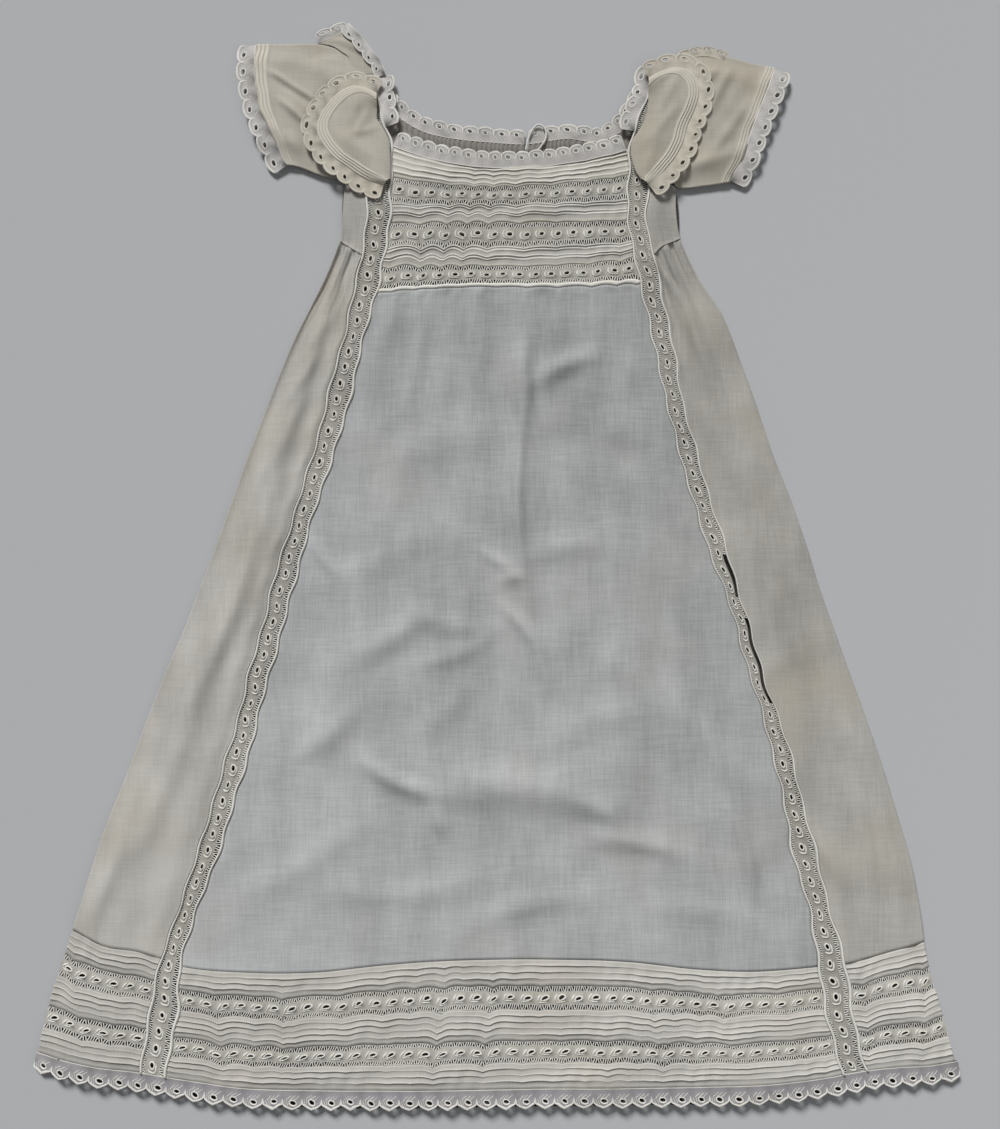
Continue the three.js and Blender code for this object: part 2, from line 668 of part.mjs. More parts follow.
// The front of a sleeve swells between its two folded edges
function sleeveFace(panel) {
  const swell = (x, y) => {
    const t = (panel.top(x) - y) / (panel.top(x) - panel.foot(x));
    return foldTop + (frontTop - foldTop) * smooth(5 * t) * smooth(5 * (1 - t));
  };
  return {
    outer: swell,
    inner: (x, y) => swell(x, y) - wall,
  };
}
for (const panel of sleeves) {
  const face = sleeveFace(panel);
  const profile = panel.flip
    ? sleeveProfile.map((p) => ({ at: 1 - p.at, lift: p.lift })).reverse()
    : sleeveProfile;
  const under = {
    ...panel,
    top: shifted(panel.top, -sleeveInset),
    foot: shifted(panel.foot, sleeveInset),
  };
  add(`sleeve_${panel.side}_front`, panelWall(panel, face, steps(9), profile, [0, 0.35, 0.7, 1], false), "side");
  add(`sleeve_${panel.side}_back`, panelWall(under, backFace, steps(9), flat(3), steps(3), false), "back");
}

// Cuff edgings reach out past the sleeves
const cuffReach = 11.5;
const cuffLine = (rows, from, to, out) => {
  const at = reader(rows, "y", "x");
  return steps(8).map((u) => {
    const y = from + (to - from) * u;
    return [at(y) + out, y];
  });
};
const cuffs = [
  { side: "left", line: cuffLine(cuffRowsL, 257.5, 344.6, -2 * seam), count: 7, sleeve: sleeves[0] },
  { side: "right", line: cuffLine(cuffRowsR, 327.0, 246.5, 2 * seam), count: 7, sleeve: sleeves[1] },
];
for (const cuff of cuffs) {
  // The edging stays on the height of the sleeve edge that it is sewn to
  const level = (x, y) => sleeveFace(cuff.sleeve).outer(x, y);
  const shape = edgingWall(cuff.line.reverse(), cuffReach, cuff.count, lobePieces, level);
  add(`sleeve_edging_${cuff.side}`, shape, "edging");
}

// Shoulder frills: cloth with four tucks along its rim, then a scalloped edging
const wingProfile = [
  { at: 0, lift: 0 },
  { at: 0.3, lift: 0 },
  { at: 0.6, lift: 0 },
  { at: 0.7, lift: 0 },
  { at: 0.76, lift: tuckRise },
  { at: 0.79, lift: 0 },
  { at: 0.84, lift: tuckRise },
  { at: 0.87, lift: 0 },
  { at: 0.93, lift: tuckRise },
  { at: 1, lift: 0 },
];
const wingReach = 10.5;
const frills = [
  { side: "left", rows: wingRowsL, count: 13 },
  { side: "right", rows: wingRowsR, count: 12 },
];
for (const frill of frills) {
  const place = (row, at) => {
    const x = row.sewnX + (row.rimX - row.sewnX) * at;
    const y = row.sewnY + (row.rimY - row.sewnY) * at;
    return [x, y, wingLevel + wingSwell * Math.sin(Math.PI * at)];
  };
  const sections = frill.rows.map((row) => ({
    outer: wingProfile.map((p) => {
      const [x, y, z] = place(row, p.at);
      return [x, y, z + p.lift];
    }),
    inner: [0, 0.3, 0.6, 0.85, 1].map((at) => {
      const [x, y, z] = place(row, at);
      return [x, y, z - wall];
    }),
  }));
  add(`wing_${frill.side}`, loft(sections), "side");
  const out = frill.side === "left" ? -1 : 1;
  const rim = frill.rows.map((row) => {
    const dx = row.rimX - row.sewnX;
    const dy = row.rimY - row.sewnY;
    const far = Math.hypot(dx, dy);
    return [row.rimX + (4 * seam * dx) / far, row.rimY + (4 * seam * dy) / far];
  });
  if (out > 0) {
    rim.reverse();
  }
  const level = fixed(wingLevel);
  add(`wing_edging_${frill.side}`, edgingWall(rim, wingReach, frill.count, lobePieces, level), "edging");
}

// Neck edgings: across the front, up both shoulders and round the two halves of the back
const neckReach = 11.3;
const strapReach = 10.5;
const backReach = 10;
const overX = (line, from, to, up) =>
  steps(12).map((u) => {
    const x = from + (to - from) * u;
    return [x, line(x) + up];
  });
const overY = (line, from, to, out) =>
  steps(4).map((u) => {
    const y = from + (to - from) * u;
    return [line(y) + out, y];
  });
const neckLine = overX(yoke[0], yokeRight - 2, yokeLeft + 1, seam);
add("neck_edging_front", edgingWall(neckLine, neckReach, 17, lobePieces, bodyLevel), "edging");
const strapL = overY(robeLIn, 287, 322, lineGap);
const strapR = overY(robeRIn, 326, 288, -lineGap);
add("strap_edging_left", edgingWall(strapL, strapReach, 4, lobePieces, bodyLevel), "edging");
add("strap_edging_right", edgingWall(strapR, strapReach, 4, lobePieces, bodyLevel), "edging");
const neckL = overX(backNeck, slitL() - seam, -80, neckGap);
const neckR = overX(backNeck, 102, slitR() + seam, neckGap);
add("back_neck_edging_left", edgingWall(neckL, backReach, 11, lobePieces, backFace.outer, backRim), "edging");
add("back_neck_edging_right", edgingWall(neckR, backReach, 9, lobePieces, backFace.outer, backRim), "edging");

// Back ends of the shoulder frills, which show beyond the shoulders
const wingBackRows = [
  { left: -101.3, leftY: 324.5, right: -82.0, rightY: 324.2, z: 2.9 },
  { left: -101.4, leftY: 335.9, right: -87.8, rightY: 340.4, z: 3.8 },
  { left: -106.5, leftY: 340.0, right: -92.4, rightY: 347.6, z: 4.2 },
  { left: -113.6, leftY: 345.0, right: -98.0, rightY: 353.8, z: 3.6 },
  { left: -123.4, leftY: 346.4, right: -103.0, rightY: 355.4, z: 2.9 },
];
const wingBack = wingBackRows.map((row) => {
  const across = (at, z) => [row.left + (row.right - row.left) * at, row.leftY + (row.rightY - row.leftY) * at, z];
  return {
    outer: [across(0, row.z), across(0.5, row.z + rimRise), across(1, row.z)],
    inner: [across(0, row.z - wall), across(1, row.z - wall)],
  };
});
add("wing_back_left", loft(wingBack), "side");
const wingBackLines = [
  { side: "left", line: [[-103.2, 356.0], [-113.5, 351.5], [-123.7, 347.0]], reach: 7.5, count: 2 },
  { side: "right", line: [[158.5, 337.6], [143, 338.6], [127, 338.2]], reach: 6.5, count: 3 },
];
for (const part of wingBackLines) {
  add(`wing_back_edging_${part.side}`, edgingWall(part.line, part.reach, part.count, lobePieces, fixed(foldTop)), "edging");
}

// The drawstring comes up out of the casing in one loop
const stringPath = [
  [19.6, 268.5, 2.3],
  [21.2, 276.0, 2.6],
  [24.0, 283.0, 3.2],
  [28.5, 286.8, 3.6],
  [33.2, 283.6, 3.4],
  [33.4, 277.0, 3.0],
  [29.6, 271.0, 2.6],
  [26.6, 267.0, 2.3],
];
const stringRound = new THREE.Shape();
stringRound.absarc(0, 0, stringWidth / 2, 0, 2 * Math.PI);
const stringShape = new THREE.ExtrudeGeometry(stringRound, {
  curveSegments: 3,
  steps: 14,
  bevelEnabled: false,
  extrudePath: new THREE.CatmullRomCurve3(stringPath.map((p) => new THREE.Vector3(...p))),
});
add("drawstring", stringShape, "string");

export default gown;
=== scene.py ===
import math

import bmesh
import bpy
import numpy as np
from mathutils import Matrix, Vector


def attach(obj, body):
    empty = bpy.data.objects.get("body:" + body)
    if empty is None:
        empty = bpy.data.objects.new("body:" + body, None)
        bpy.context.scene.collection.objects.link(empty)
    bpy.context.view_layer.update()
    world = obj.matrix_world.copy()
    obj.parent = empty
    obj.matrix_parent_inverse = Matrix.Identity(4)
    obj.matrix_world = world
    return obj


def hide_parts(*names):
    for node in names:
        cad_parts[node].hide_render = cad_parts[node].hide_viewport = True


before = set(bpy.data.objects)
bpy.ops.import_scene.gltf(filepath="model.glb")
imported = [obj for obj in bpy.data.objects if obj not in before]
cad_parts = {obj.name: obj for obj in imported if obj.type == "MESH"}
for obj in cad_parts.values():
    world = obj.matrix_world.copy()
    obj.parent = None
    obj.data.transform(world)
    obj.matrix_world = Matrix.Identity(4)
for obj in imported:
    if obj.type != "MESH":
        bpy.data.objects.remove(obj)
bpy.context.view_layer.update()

mm = 0.001

# The camera looks almost straight down at the laid gown
view = {"target": (2.0, -17.0, 4.0), "distance": 792.0, "tilt": 6.0, "lens": 38.26, "sensor": 36.0}


def placeCamera():
    tilt = math.radians(view["tilt"])
    target = Vector(view["target"]) * mm
    eye = target + Vector((0, -math.sin(tilt), math.cos(tilt))) * view["distance"] * mm
    data = bpy.data.cameras.new("camera")
    data.lens = view["lens"]
    data.sensor_width = view["sensor"]
    data.clip_start = 0.01
    cameraObject = bpy.data.objects.new("camera", data)
    cameraObject.location = eye
    cameraObject.rotation_euler = (target - eye).to_track_quat("-Z", "Y").to_euler()
    bpy.context.scene.collection.objects.link(cameraObject)
    bpy.context.scene.camera = cameraObject


placeCamera()
print("camera placed")

# The pattern of the gown in millimetres: seam lines of the body by height
seams = {
    "columns": ("y", "sideL", "robeLOut", "robeLIn", "robeRIn", "robeROut", "sideR"),
    "rows": [
        (-345, -291.3, -225.8, -207.7, 217.8, 236.4, 290.8), (-325, -290.4, -223.6, -205.6, 213.5, 230, 288.2),
        (-300, -285.6, -220.7, -201.3, 207.5, 226.4, 282.3), (-270, -277.3, -214, -200.2, 203.4, 221.3, 274.8),
        (-240, -268.1, -204.6, -192.1, 199.7, 213.7, 271.7), (-210, -259.7, -194.5, -180.3, 190.8, 206.7, 266.9),
        (-180, -250.3, -186.1, -171.5, 186.5, 199.9, 259.5), (-150, -239.1, -177.5, -162.6, 180.2, 193.1, 251),
        (-120, -228.7, -169.6, -155.4, 173.9, 184.6, 241.5), (-90, -217.5, -162.4, -148.2, 164.7, 174.6, 231.9),
        (-60, -205.6, -154.7, -140, 157.2, 166.5, 222), (-30, -195, -147.8, -133, 147.6, 158.2, 212.3),
        (0, -184.5, -139.5, -125.2, 136.8, 149.5, 203.9), (30, -174.6, -130.5, -116.9, 128.4, 141, 194.2),
        (60, -164.6, -122.3, -107, 120.6, 132.8, 182.9), (85, -155.8, -116.1, -100.3, 114, 126, 175.4),
        (110, -146.7, -110.3, -94.1, 109.5, 121.9, 167.4), (135, -136.8, -103.8, -89.3, 103.7, 117.6, 158.8),
        (155, -127.3, -99.5, -84.4, 100.4, 114.2, 150.6), (175, -117.6, -95.8, -78.1, 96, 110.5, 138.2),
        (190, -111.5, -93.3, -76.1, 92.7, 107.5, 130.6), (205, -106.6, -90.7, -73.9, 89.8, 103.1, 124.9),
        (225, -105.3, -88.8, -71.3, 88.6, 102.4, 122.2), (245, -104.2, -89.2, -71.3, 88.8, 105, 122.8),
        (272, -103, -91.5, -71.8, 90.5, 109.5, 123.5), (300, -101, -97.8, -80, 100, 118.5, 126.5),
        (330, -101, -99.8, -82.5, 108.5, 127.5, 130),
    ],
}
hem = {
    "columns": ("x", "top", "foot"),
    "rows": [
        (-294, -246, -339.5), (-272, -252, -344.5), (-251, -262, -348), (-226, -266, -350.6), (-199, -275, -354.4),
        (-160, -278.3, -359.5), (-115, -278.2, -361.4), (-70, -273.8, -362.2), (-15, -270.4, -361.9),
        (30, -270.2, -361.2), (85, -271.8, -360.4), (130, -276.6, -359), (165, -277.8, -357.6),
        (205, -274.5, -353.4), (230, -271, -349), (250, -265.5, -347.4), (275, -259.5, -346.6), (294, -255, -344.4),
    ],
}
hemShares = {
    "upperTucks": (0, 0.176), "upperInsertion": (0.176, 0.338), "middleTucks": (0.338, 0.548),
    "lowerInsertion": (0.548, 0.695), "lowerTucks": (0.695, 0.875), "edging": (0.875, 1),
}
yokeHeights = [
    (271.7, 255.7, 269.2, 0.5), (248.5, 241.7, 250.6, 1.7), (230, 229.3, 233.6, 2), (215.9, 216.3, 218, 2.6),
    (199.7, 199.7, 203.2, 3.4), (185.7, 185.7, 190.6, 3), (170.4, 173.5, 175.9, 1.5), (168, 171.2, 173, 1.6),
]  # left, middle and right height and the puckers of each yoke line, from the neck down


def tableLine(table, column):
    # a smooth line through one column of a table, read along its first column
    at = np.array([row[0] for row in table["rows"]], float)
    value = np.array([row[table["columns"].index(column)] for row in table["rows"]], float)
    before = np.maximum(np.arange(len(at)) - 1, 0)
    after = np.minimum(np.arange(len(at)) + 1, len(at) - 1)
    slope = (value[after] - value[before]) / (at[after] - at[before])

    def read(s):
        s = np.asarray(s, float)
        i = np.clip(np.searchsorted(at, s) - 1, 0, len(at) - 2)
        span = at[i + 1] - at[i]
        t = (s - at[i]) / span
        c = np.clip(t, 0, 1)
        h = c * c * (3 - 2 * c)
        inside = value[i] * (1 - h) + value[i + 1] * h + c * (1 - c) * span * ((1 - c) * slope[i] - c * slope[i + 1])
        over = np.where(t < 0, slope[i] * (s - at[i]), np.where(t > 1, slope[i + 1] * (s - at[i + 1]), 0))
        return inside + over

    return read


def lineThrough(*pairs):
    return tableLine({"columns": ("at", "value"), "rows": pairs}, "value")


def linesOf(rows):
    # smooth lines through the columns of some rows, read by row number
    return [lineThrough(*enumerate(column)) for column in zip(*rows)]


def between(a, b, share):
    return a + (b - a) * share


def wavy(line, height, length, phase):
    # a seam that puckers along its length
    return lambda s: (line(s) + height * np.sin(2 * np.pi * np.asarray(s, float) / length + phase)
                      + 0.5 * height * np.sin(2 * np.pi * np.asarray(s, float) / (length * 2.3) + phase * 2))


sideL = tableLine(seams, "sideL")
sideR = tableLine(seams, "sideR")
robeLOut = wavy(tableLine(seams, "robeLOut"), 0.7, 27, 0.4)
robeLIn = wavy(tableLine(seams, "robeLIn"), 0.8, 25, 1.9)
robeRIn = wavy(tableLine(seams, "robeRIn"), 0.8, 26, 3.0)
robeROut = wavy(tableLine(seams, "robeROut"), 0.8, 29, 0.9)
hemTop = tableLine(hem, "top")
hemFoot = tableLine(hem, "foot")


def hemLine(share):
    # the hem's rows pucker most at its left, and dip where the sewing pulls
    def line(x):
        x = np.asarray(x, float)
        amount = math.sin(math.pi * min(share / hemShares["edging"][0], 1)) ** 0.5
        waves = (1.7 + 0.9 * smoothStep((-180 - x) / 60)) * pucker(x * 0.82 + 7, 2.1 * share + 1)
        sharp = (1 - np.abs(np.sin(np.pi * x / 37 + 1.1 * np.sin(x / 61 + 1.3 * share)))) ** 3
        dips = 3.0 * sharp * np.cos(x / 43 + share) ** 2
        return between(hemTop(x), hemFoot(x), share) + amount * (waves - dips)

    return line


def yokeLine(left, middle, right):
    # a line that curves away from its middle
    return lambda x: middle + np.where(x < 8, (left - middle) * ((8 - x) / 80) ** 2,
                                       (right - middle) * ((x - 8) / 82) ** 2)


def pucker(x, seed):
    # sewn rows pull the cloth into rounded crests with sharper dips between
    turn = 2 * np.pi * x / 19.5 + 1.5 * np.sin(x / 21 + seed) + 0.9 * np.sin(x / 11.5 + 1.9 * seed)
    return (np.abs(np.sin(turn / 2)) ** 0.85 - 0.6) * (0.62 + 0.38 * np.sin(x / 33 + 2.3 * seed))


def puckered(line, amount, seed):
    # a line drawn up into puckers, with a slow wave as well
    def read(x):
        x = np.asarray(x, float)
        return line(x) + amount * pucker(x, seed) + 0.3 * np.sin(x / 24 + seed)

    return read


yoke = [puckered(yokeLine(*heights), amount, 0.35 * k) for k, (*heights, amount) in enumerate(yokeHeights)]


def smoothStep(t):
    c = np.clip(t, 0, 1)
    return c * c * (3 - 2 * c)


# Creases of the skirt: middle, turn of the crest, length, width and height
creases = [
    (17, 106, 90, 58, 8, 2.2), (24, 112, 90, 44, 5, -0.8), (45, 117, 24, 40, 7, 1.7), (22, 78, 22, 100, 17, -1.2),
    (12, 15, 90, 100, 11, 1.5), (20, -62, -54, 42, 5, 1.5), (31, -90, -76, 26, 5, 1.1),
    (-64, -159, -25, 50, 6, 1.8), (-38, -182, -70, 22, 5, 1.2), (22, -163, -6, 112, 13, 2),
    (66, -176, -24, 30, 7, 0.9), (92, -197, -11, 56, 7, 1.3), (161, -207, -80, 56, 5, 1.7),
    (140, -137, -73, 40, 6, 1.2), (20, -236, 14, 78, 8, 0.8), (212, -205, -58, 52, 7, 1.4),
    (-155, 0, 72, 190, 8, 1.1), (-215, -160, 68, 170, 9, 1), (178, 0, -71, 180, 9, 1.1),
    (-116, -12, -57, 28, 4, 0.9), (-52, 128, 84, 70, 5, 0.7), (-34, 120, 92, 60, 5, 0.5), (-8, 138, 90, 50, 5, 0.6),
    (40, 140, 88, 44, 5, 0.6), (66, 126, 84, 60, 6, 0.7), (84, 96, 80, 60, 6, 0.5), (-66, 40, 80, 120, 12, 0.8),
    (-100, -100, 76, 120, 13, 0.9), (80, -60, -82, 150, 14, 0.8), (120, -40, -72, 120, 12, 0.8),
    (-20, -60, 88, 110, 12, 0.7), (-60, -230, 4, 90, 8, 0.6), (130, -240, -8, 70, 8, 0.6),
    (-131, 90, 70, 90, 5, 0.7), (-118, 130, 66, 80, 4, 0.6), (-108, 160, 68, 60, 4, 0.6),
    (140, 120, -66, 90, 5, 0.7), (128, 150, -68, 70, 4, 0.6), (166, 60, -70, 90, 6, 0.6),
    (-176, -60, 70, 110, 6, 0.7), (-245, -210, 70, 70, 6, 0.6), (205, -90, -72, 120, 7, 0.7),
    (236, -190, -74, 90, 6, 0.6), (10, -26, 10, 16, 5, 0.8), (-67, -65, 32, 50, 8, 0.9),
    (-28, -58, -10, 56, 7, 0.7), (-24, -76, 23, 46, 6, 0.7), (0, -15, -38, 26, 4, 0.7), (41, -7, 10, 60, 8, 0.6),
    (14, 30, 90, 150, 4, 1.1), (-86, -20, 24, 70, 10, 0.7), (-108, -128, 40, 54, 8, 0.8),
    (-30, -110, 50, 56, 9, 0.7), (60, -120, 20, 80, 11, 0.7), (110, 40, -66, 80, 10, 0.8),
    (-70, 150, 76, 70, 8, 0.8), (100, -100, -40, 70, 10, 0.7), (-120, -210, 30, 70, 9, 0.7),
    (-10, 66, 12, 110, 14, 0.9), (70, 62, -14, 80, 12, -0.8), (112, 174, -69, 24, 1.8, -0.9),
    (116, 176, -64, 30, 2.4, 0.7), (121, 172, -60, 34, 2.2, -0.6), (-112, 172, 68, 30, 2.4, 0.6),
    (-117, 168, 66, 34, 2.4, -0.6),
]


def bumps(rows, x, y, bend=0.0, soft=0.0):
    # long ridges and dips, bent outwards and with soft ends where asked
    total = np.zeros_like(np.asarray(x, float))
    for cx, cy, turn, long, wide, high in rows:
        c, s = math.cos(math.radians(turn)), math.sin(math.radians(turn))
        along = ((x - cx) * c + (y - cy) * s) / (long / 2)
        bow = math.copysign(bend * long, cx) * along ** 2
        across = ((y - cy) * c - (x - cx) * s + bow) / wide
        total = total + high * np.exp(-across ** 2 - soft * along ** 2 - (1 - soft) * along ** 4)
    return total


def creaseHeight(x, y):
    return 2.3 * bumps(creases, x, y, 0.05, 0.7)


def rippleHeight(x, y):
    # the fine unevenness of soft cloth that has been washed and laid flat
    broad = np.sin(x / 31 + 1.6 * np.sin(y / 47)) * np.sin(y / 27 + 1.5 * np.sin(x / 43))
    middling = np.sin(x / 17 + 1.9 * np.sin(y / 23)) * np.sin(y / 12 + 1.4 * np.sin(x / 19))
    fine = np.sin(x / 6.5 + 1.2 * np.sin(y / 9)) * np.sin(y / 5.5 + np.sin(x / 8))
    return 0.95 * broad + 0.48 * middling + 0.08 * fine


levels = {"front": 5.4, "fold": 2.75, "run": 16.0, "shoulder": 298.0, "shoulderRun": 26.0, "back": 1.0,
          "lowest": 1.7}
walls = {"thin": 0.3, "double": 0.5, "skirt": 0.6, "cord": 0.25}  # thickness of the cloths in mm


def bodyLevel(x, y):
    inside = np.minimum(x - sideL(y), sideR(y) - x) / levels["run"]
    down = smoothStep((y - levels["shoulder"]) / levels["shoulderRun"])
    return between(levels["fold"], levels["front"], smoothStep(inside) * (1 - down))


def frontHeight(x, y):
    # the upper layer, which never sinks through the one below
    return np.maximum(bodyLevel(x, y) + creaseHeight(x, y) + rippleHeight(x, y), levels["lowest"])


def panel(left, right, top, foot, middle):
    # a map from shares across and down a panel to places on the table
    def spot(u, v):
        u = np.asarray(u, float)
        v = np.asarray(v, float)
        y = np.full(np.broadcast(u, v).shape, float(middle))
        for _ in range(16):
            x = between(left(y), right(y), u)
            y = (y + 2 * between(top(x), foot(x), v)) / 3
        return x, y

    return spot


def fixedAt(value):
    return lambda s: np.full_like(np.asarray(s, float), value)


def moved(line, by):
    return lambda s: line(s) + by


# Finishes
# Pale and dark colour, mixed by random tone and a painted light falloff, and stained colour, then how stained and
# slubbed, how the slubs lean, and the painted light falloff across the gown
looks = {
    "frontCloth": ((0.545, 0.556, 0.558), (0.3, 0.308, 0.308), (0.45, 0.44, 0.38), 0.3, 1, 0, -0.8),
    "sideCloth": ((0.57, 0.555, 0.515), (0.345, 0.332, 0.3), (0.44, 0.395, 0.31), 0.5, 0.7, 0.28, -0.8),
    "sleeveCloth": ((0.63, 0.595, 0.525), (0.43, 0.4, 0.34), (0.43, 0.365, 0.25), 0.6, 0.6, 0.5, -0.8),
    "backCloth": ((0.54, 0.52, 0.47), (0.42, 0.4, 0.35), (0.46, 0.39, 0.28), 0.5, 0.7, 0, -0.8),
    # painted shade: a near-black cloth for faces seen only through holes and gaps, standing in for the shade beneath
    # the upper layers
    "insideCloth": ((0.08, 0.073, 0.062), (0.045, 0.04, 0.034), (0.06, 0.05, 0.035), 0.2, 0.4, 0, -0.8),
    # the back neck casing's own colour, darkened with painted shade
    "casingCloth": ((0.4, 0.378, 0.362), (0.21, 0.196, 0.18), (0.3, 0.255, 0.19), 0.4, 0.6, 0, -0.8),
    "tuckedCloth": ((0.59, 0.573, 0.53), (0.42, 0.4, 0.37), (0.5, 0.445, 0.38), 0.4, 0.6, 0, 0.9),
    "yokeCloth": ((0.69, 0.665, 0.6), (0.52, 0.498, 0.44), (0.6, 0.54, 0.42), 0.35, 0.6, 0, -0.8),
    "hemThread": ((0.74, 0.722, 0.68), (0.59, 0.572, 0.53), (0.6, 0.55, 0.45), 0.35, 0.3, 0.4, 0.9),
    "lilacEdging": ((0.36, 0.347, 0.36), (0.26, 0.249, 0.257), (0.32, 0.295, 0.27), 0.3, 0.5, 0.6, -0.8),
    "edgingCloth": ((0.61, 0.592, 0.572), (0.46, 0.443, 0.428), (0.48, 0.44, 0.37), 0.3, 0.5, 0.6, -0.8),
    "creamEdging": ((0.64, 0.6, 0.51), (0.5, 0.465, 0.39), (0.5, 0.43, 0.31), 0.4, 0.5, 0.6, -0.8),
    "creamThread": ((0.76, 0.72, 0.63), (0.6, 0.562, 0.48), (0.6, 0.525, 0.4), 0.35, 0.3, 0.4, -0.8),
    "netCloth": ((0.55, 0.535, 0.485), (0.37, 0.358, 0.318), (0.43, 0.385, 0.3), 0.35, 1, 0, 0.5),
    "robingNet": ((0.44, 0.427, 0.385), (0.29, 0.28, 0.248), (0.36, 0.32, 0.25), 0.35, 1, 0, -0.8),
    "thread": ((0.86, 0.845, 0.79), (0.72, 0.705, 0.65), (0.7, 0.64, 0.52), 0.35, 0.3, 0.4, -0.8),
}


def makeCloth(name, light, dark, stain, stained, slub, lean, across):
    material = bpy.data.materials.new(name)
    material.use_nodes = True
    nodes, links = material.node_tree.nodes, material.node_tree.links

    def fill(node, values):
        # each socket takes a constant, or the output of another node
        for socket, value in values.items():
            if isinstance(value, bpy.types.NodeSocket):
                links.new(value, node.inputs[socket])
            else:
                node.inputs[socket].default_value = value
        return node

    def noise(detail, stretch):
        mapping = fill(nodes.new("ShaderNodeMapping"), {"Vector": place, "Rotation": (0, 0, lean), "Scale": stretch})
        spots = {"Vector": mapping.outputs["Vector"], "Scale": 1, "Detail": detail}
        return fill(nodes.new("ShaderNodeTexNoise"), spots).outputs["Fac"]

    def ramp(source, low, high):
        limits = {"Value": source, "From Min": low, "From Max": high}
        return fill(nodes.new("ShaderNodeMapRange"), limits).outputs["Result"]

    def weigh(*parts):
        total = 0
        for source, share in parts:
            part = nodes.new("ShaderNodeMath")
            part.operation = "MULTIPLY_ADD"
            total = fill(part, {0: source, 1: share, 2: total}).outputs[0]
        return total

    def blend(amount, first, second):
        mix = nodes.new("ShaderNodeMix")
        mix.data_type = "RGBA"
        return fill(mix, {"Factor": amount, "A": first, "B": second}).outputs["Result"]

    place = nodes.new("ShaderNodeTexCoord").outputs["Object"]
    slubs = weigh((noise(4, (60, 1300, 60)), 0.5), (noise(4, (1300, 60, 60)), 0.5))  # across and down the cloth
    folds = noise(3, (38, 7, 10))  # long bands where the layer below shows through
    cloud = noise(4, (22, 22, 22))
    paintedFalloff = fill(nodes.new("ShaderNodeSeparateXYZ"), {"Vector": place})  # painted light falloff: paler towards the hem and, for most looks, towards the left
    # the mix of the two colours: random slubs, folds and cloud, plus a painted light falloff across x and y
    toneAndPaintedLight = weigh((ramp(slubs, 0.38, 0.62), 0.20 + 0.2 * slub), (ramp(folds, 0.32, 0.68), 0.36),
                 (ramp(cloud, 0.30, 0.70), 0.34 - 0.1 * slub), (paintedFalloff.outputs["X"], across),
                 (paintedFalloff.outputs["Y"], -0.65))
    stains = weigh((ramp(noise(5, (13, 13, 13)), 0.50, 0.72), stained))
    relief = weigh((noise(2, (1900, 1900, 1900)), 0.4), (slubs, 0.6))
    bump = fill(nodes.new("ShaderNodeBump"), {"Strength": 0.4, "Distance": 0.0003, "Height": relief})
    fill(nodes["Principled BSDF"], {
        "Base Color": blend(stains, blend(toneAndPaintedLight, (*dark, 1), (*light, 1)), (*stain, 1)),
        "Roughness": 0.9, "Specular IOR Level": 0.2, "Sheen Weight": 0.2, "Sheen Roughness": 0.5,
        "Normal": bump.outputs["Normal"],
    })
    return material


cloths = {name: makeCloth(name, *look) for name, look in looks.items()}
print("finishes made")


# Ways of making pieces
def gridOf(columns, rows, columnsAt=None, rowsAt=None):
    # a flat grid and the shares across and down of each of its points
    bm = bmesh.new()
    bmesh.ops.create_grid(bm, x_segments=columns, y_segments=rows, size=0.5)
    flat = np.array([v.co[:2] for v in bm.verts])
    u, v = flat[:, 0] + 0.5, 0.5 - flat[:, 1]
    if columnsAt is not None:
        u = np.interp(u, np.linspace(0, 1, columns + 1), columnsAt)
    if rowsAt is not None:
        v = np.interp(v, np.linspace(0, 1, rows + 1), rowsAt)
    return bm, u, v


def markRows(bm, rows, picked, down=True, finish=1):
    # gives another finish to the picked rows (or columns) of a fresh grid
    for face in bm.faces:
        middle = face.calc_center_median()
        k = int((0.5 - middle.y if down else middle.x + 0.5) * rows)
        if k in picked:
            face.material_index = finish


def finishPiece(name, bm, points, finishes, replaced, thickness=0, lining=0):
    # puts the points, given as x, y and z, in place and makes the object
    mesh = bpy.data.meshes.new(name)
    bm.to_mesh(mesh)
    bm.free()
    mesh.vertices.foreach_set("co", (np.stack(points, 1) * mm).ravel())
    mesh.update()
    bm = bmesh.new()
    bm.from_mesh(mesh)
    bmesh.ops.remove_doubles(bm, verts=bm.verts, dist=0.00002)
    for face in bm.faces:
        face.smooth = True
    bm.to_mesh(mesh)
    bm.free()
    for finish in finishes:
        mesh.materials.append(cloths[finish])
    piece = bpy.data.objects.new(name, mesh)
    bpy.context.scene.collection.objects.link(piece)
    if thickness:
        wall = piece.modifiers.new("cloth thickness", "SOLIDIFY")
        wall.thickness = thickness * mm
        wall.offset = -1
        wall.material_offset = lining
        wall.material_offset_rim = lining
    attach(piece, "root")
    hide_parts(*replaced)
    return piece


def layCloth(name, spot, columns, rows, height, finishes, replaced, thickness=walls["thin"], lining=0,
             insideFrom=None):
    bm, u, v = gridOf(columns, rows)
    # rows from the given one on take the second finish; the back bodices use this for painted shade
    if insideFrom is not None:
        markRows(bm, rows, range(insideFrom, rows))
    x, y = spot(u, v)
    return finishPiece(name, bm, (x, y, height(x, y, u, v)), finishes, replaced, thickness, lining)


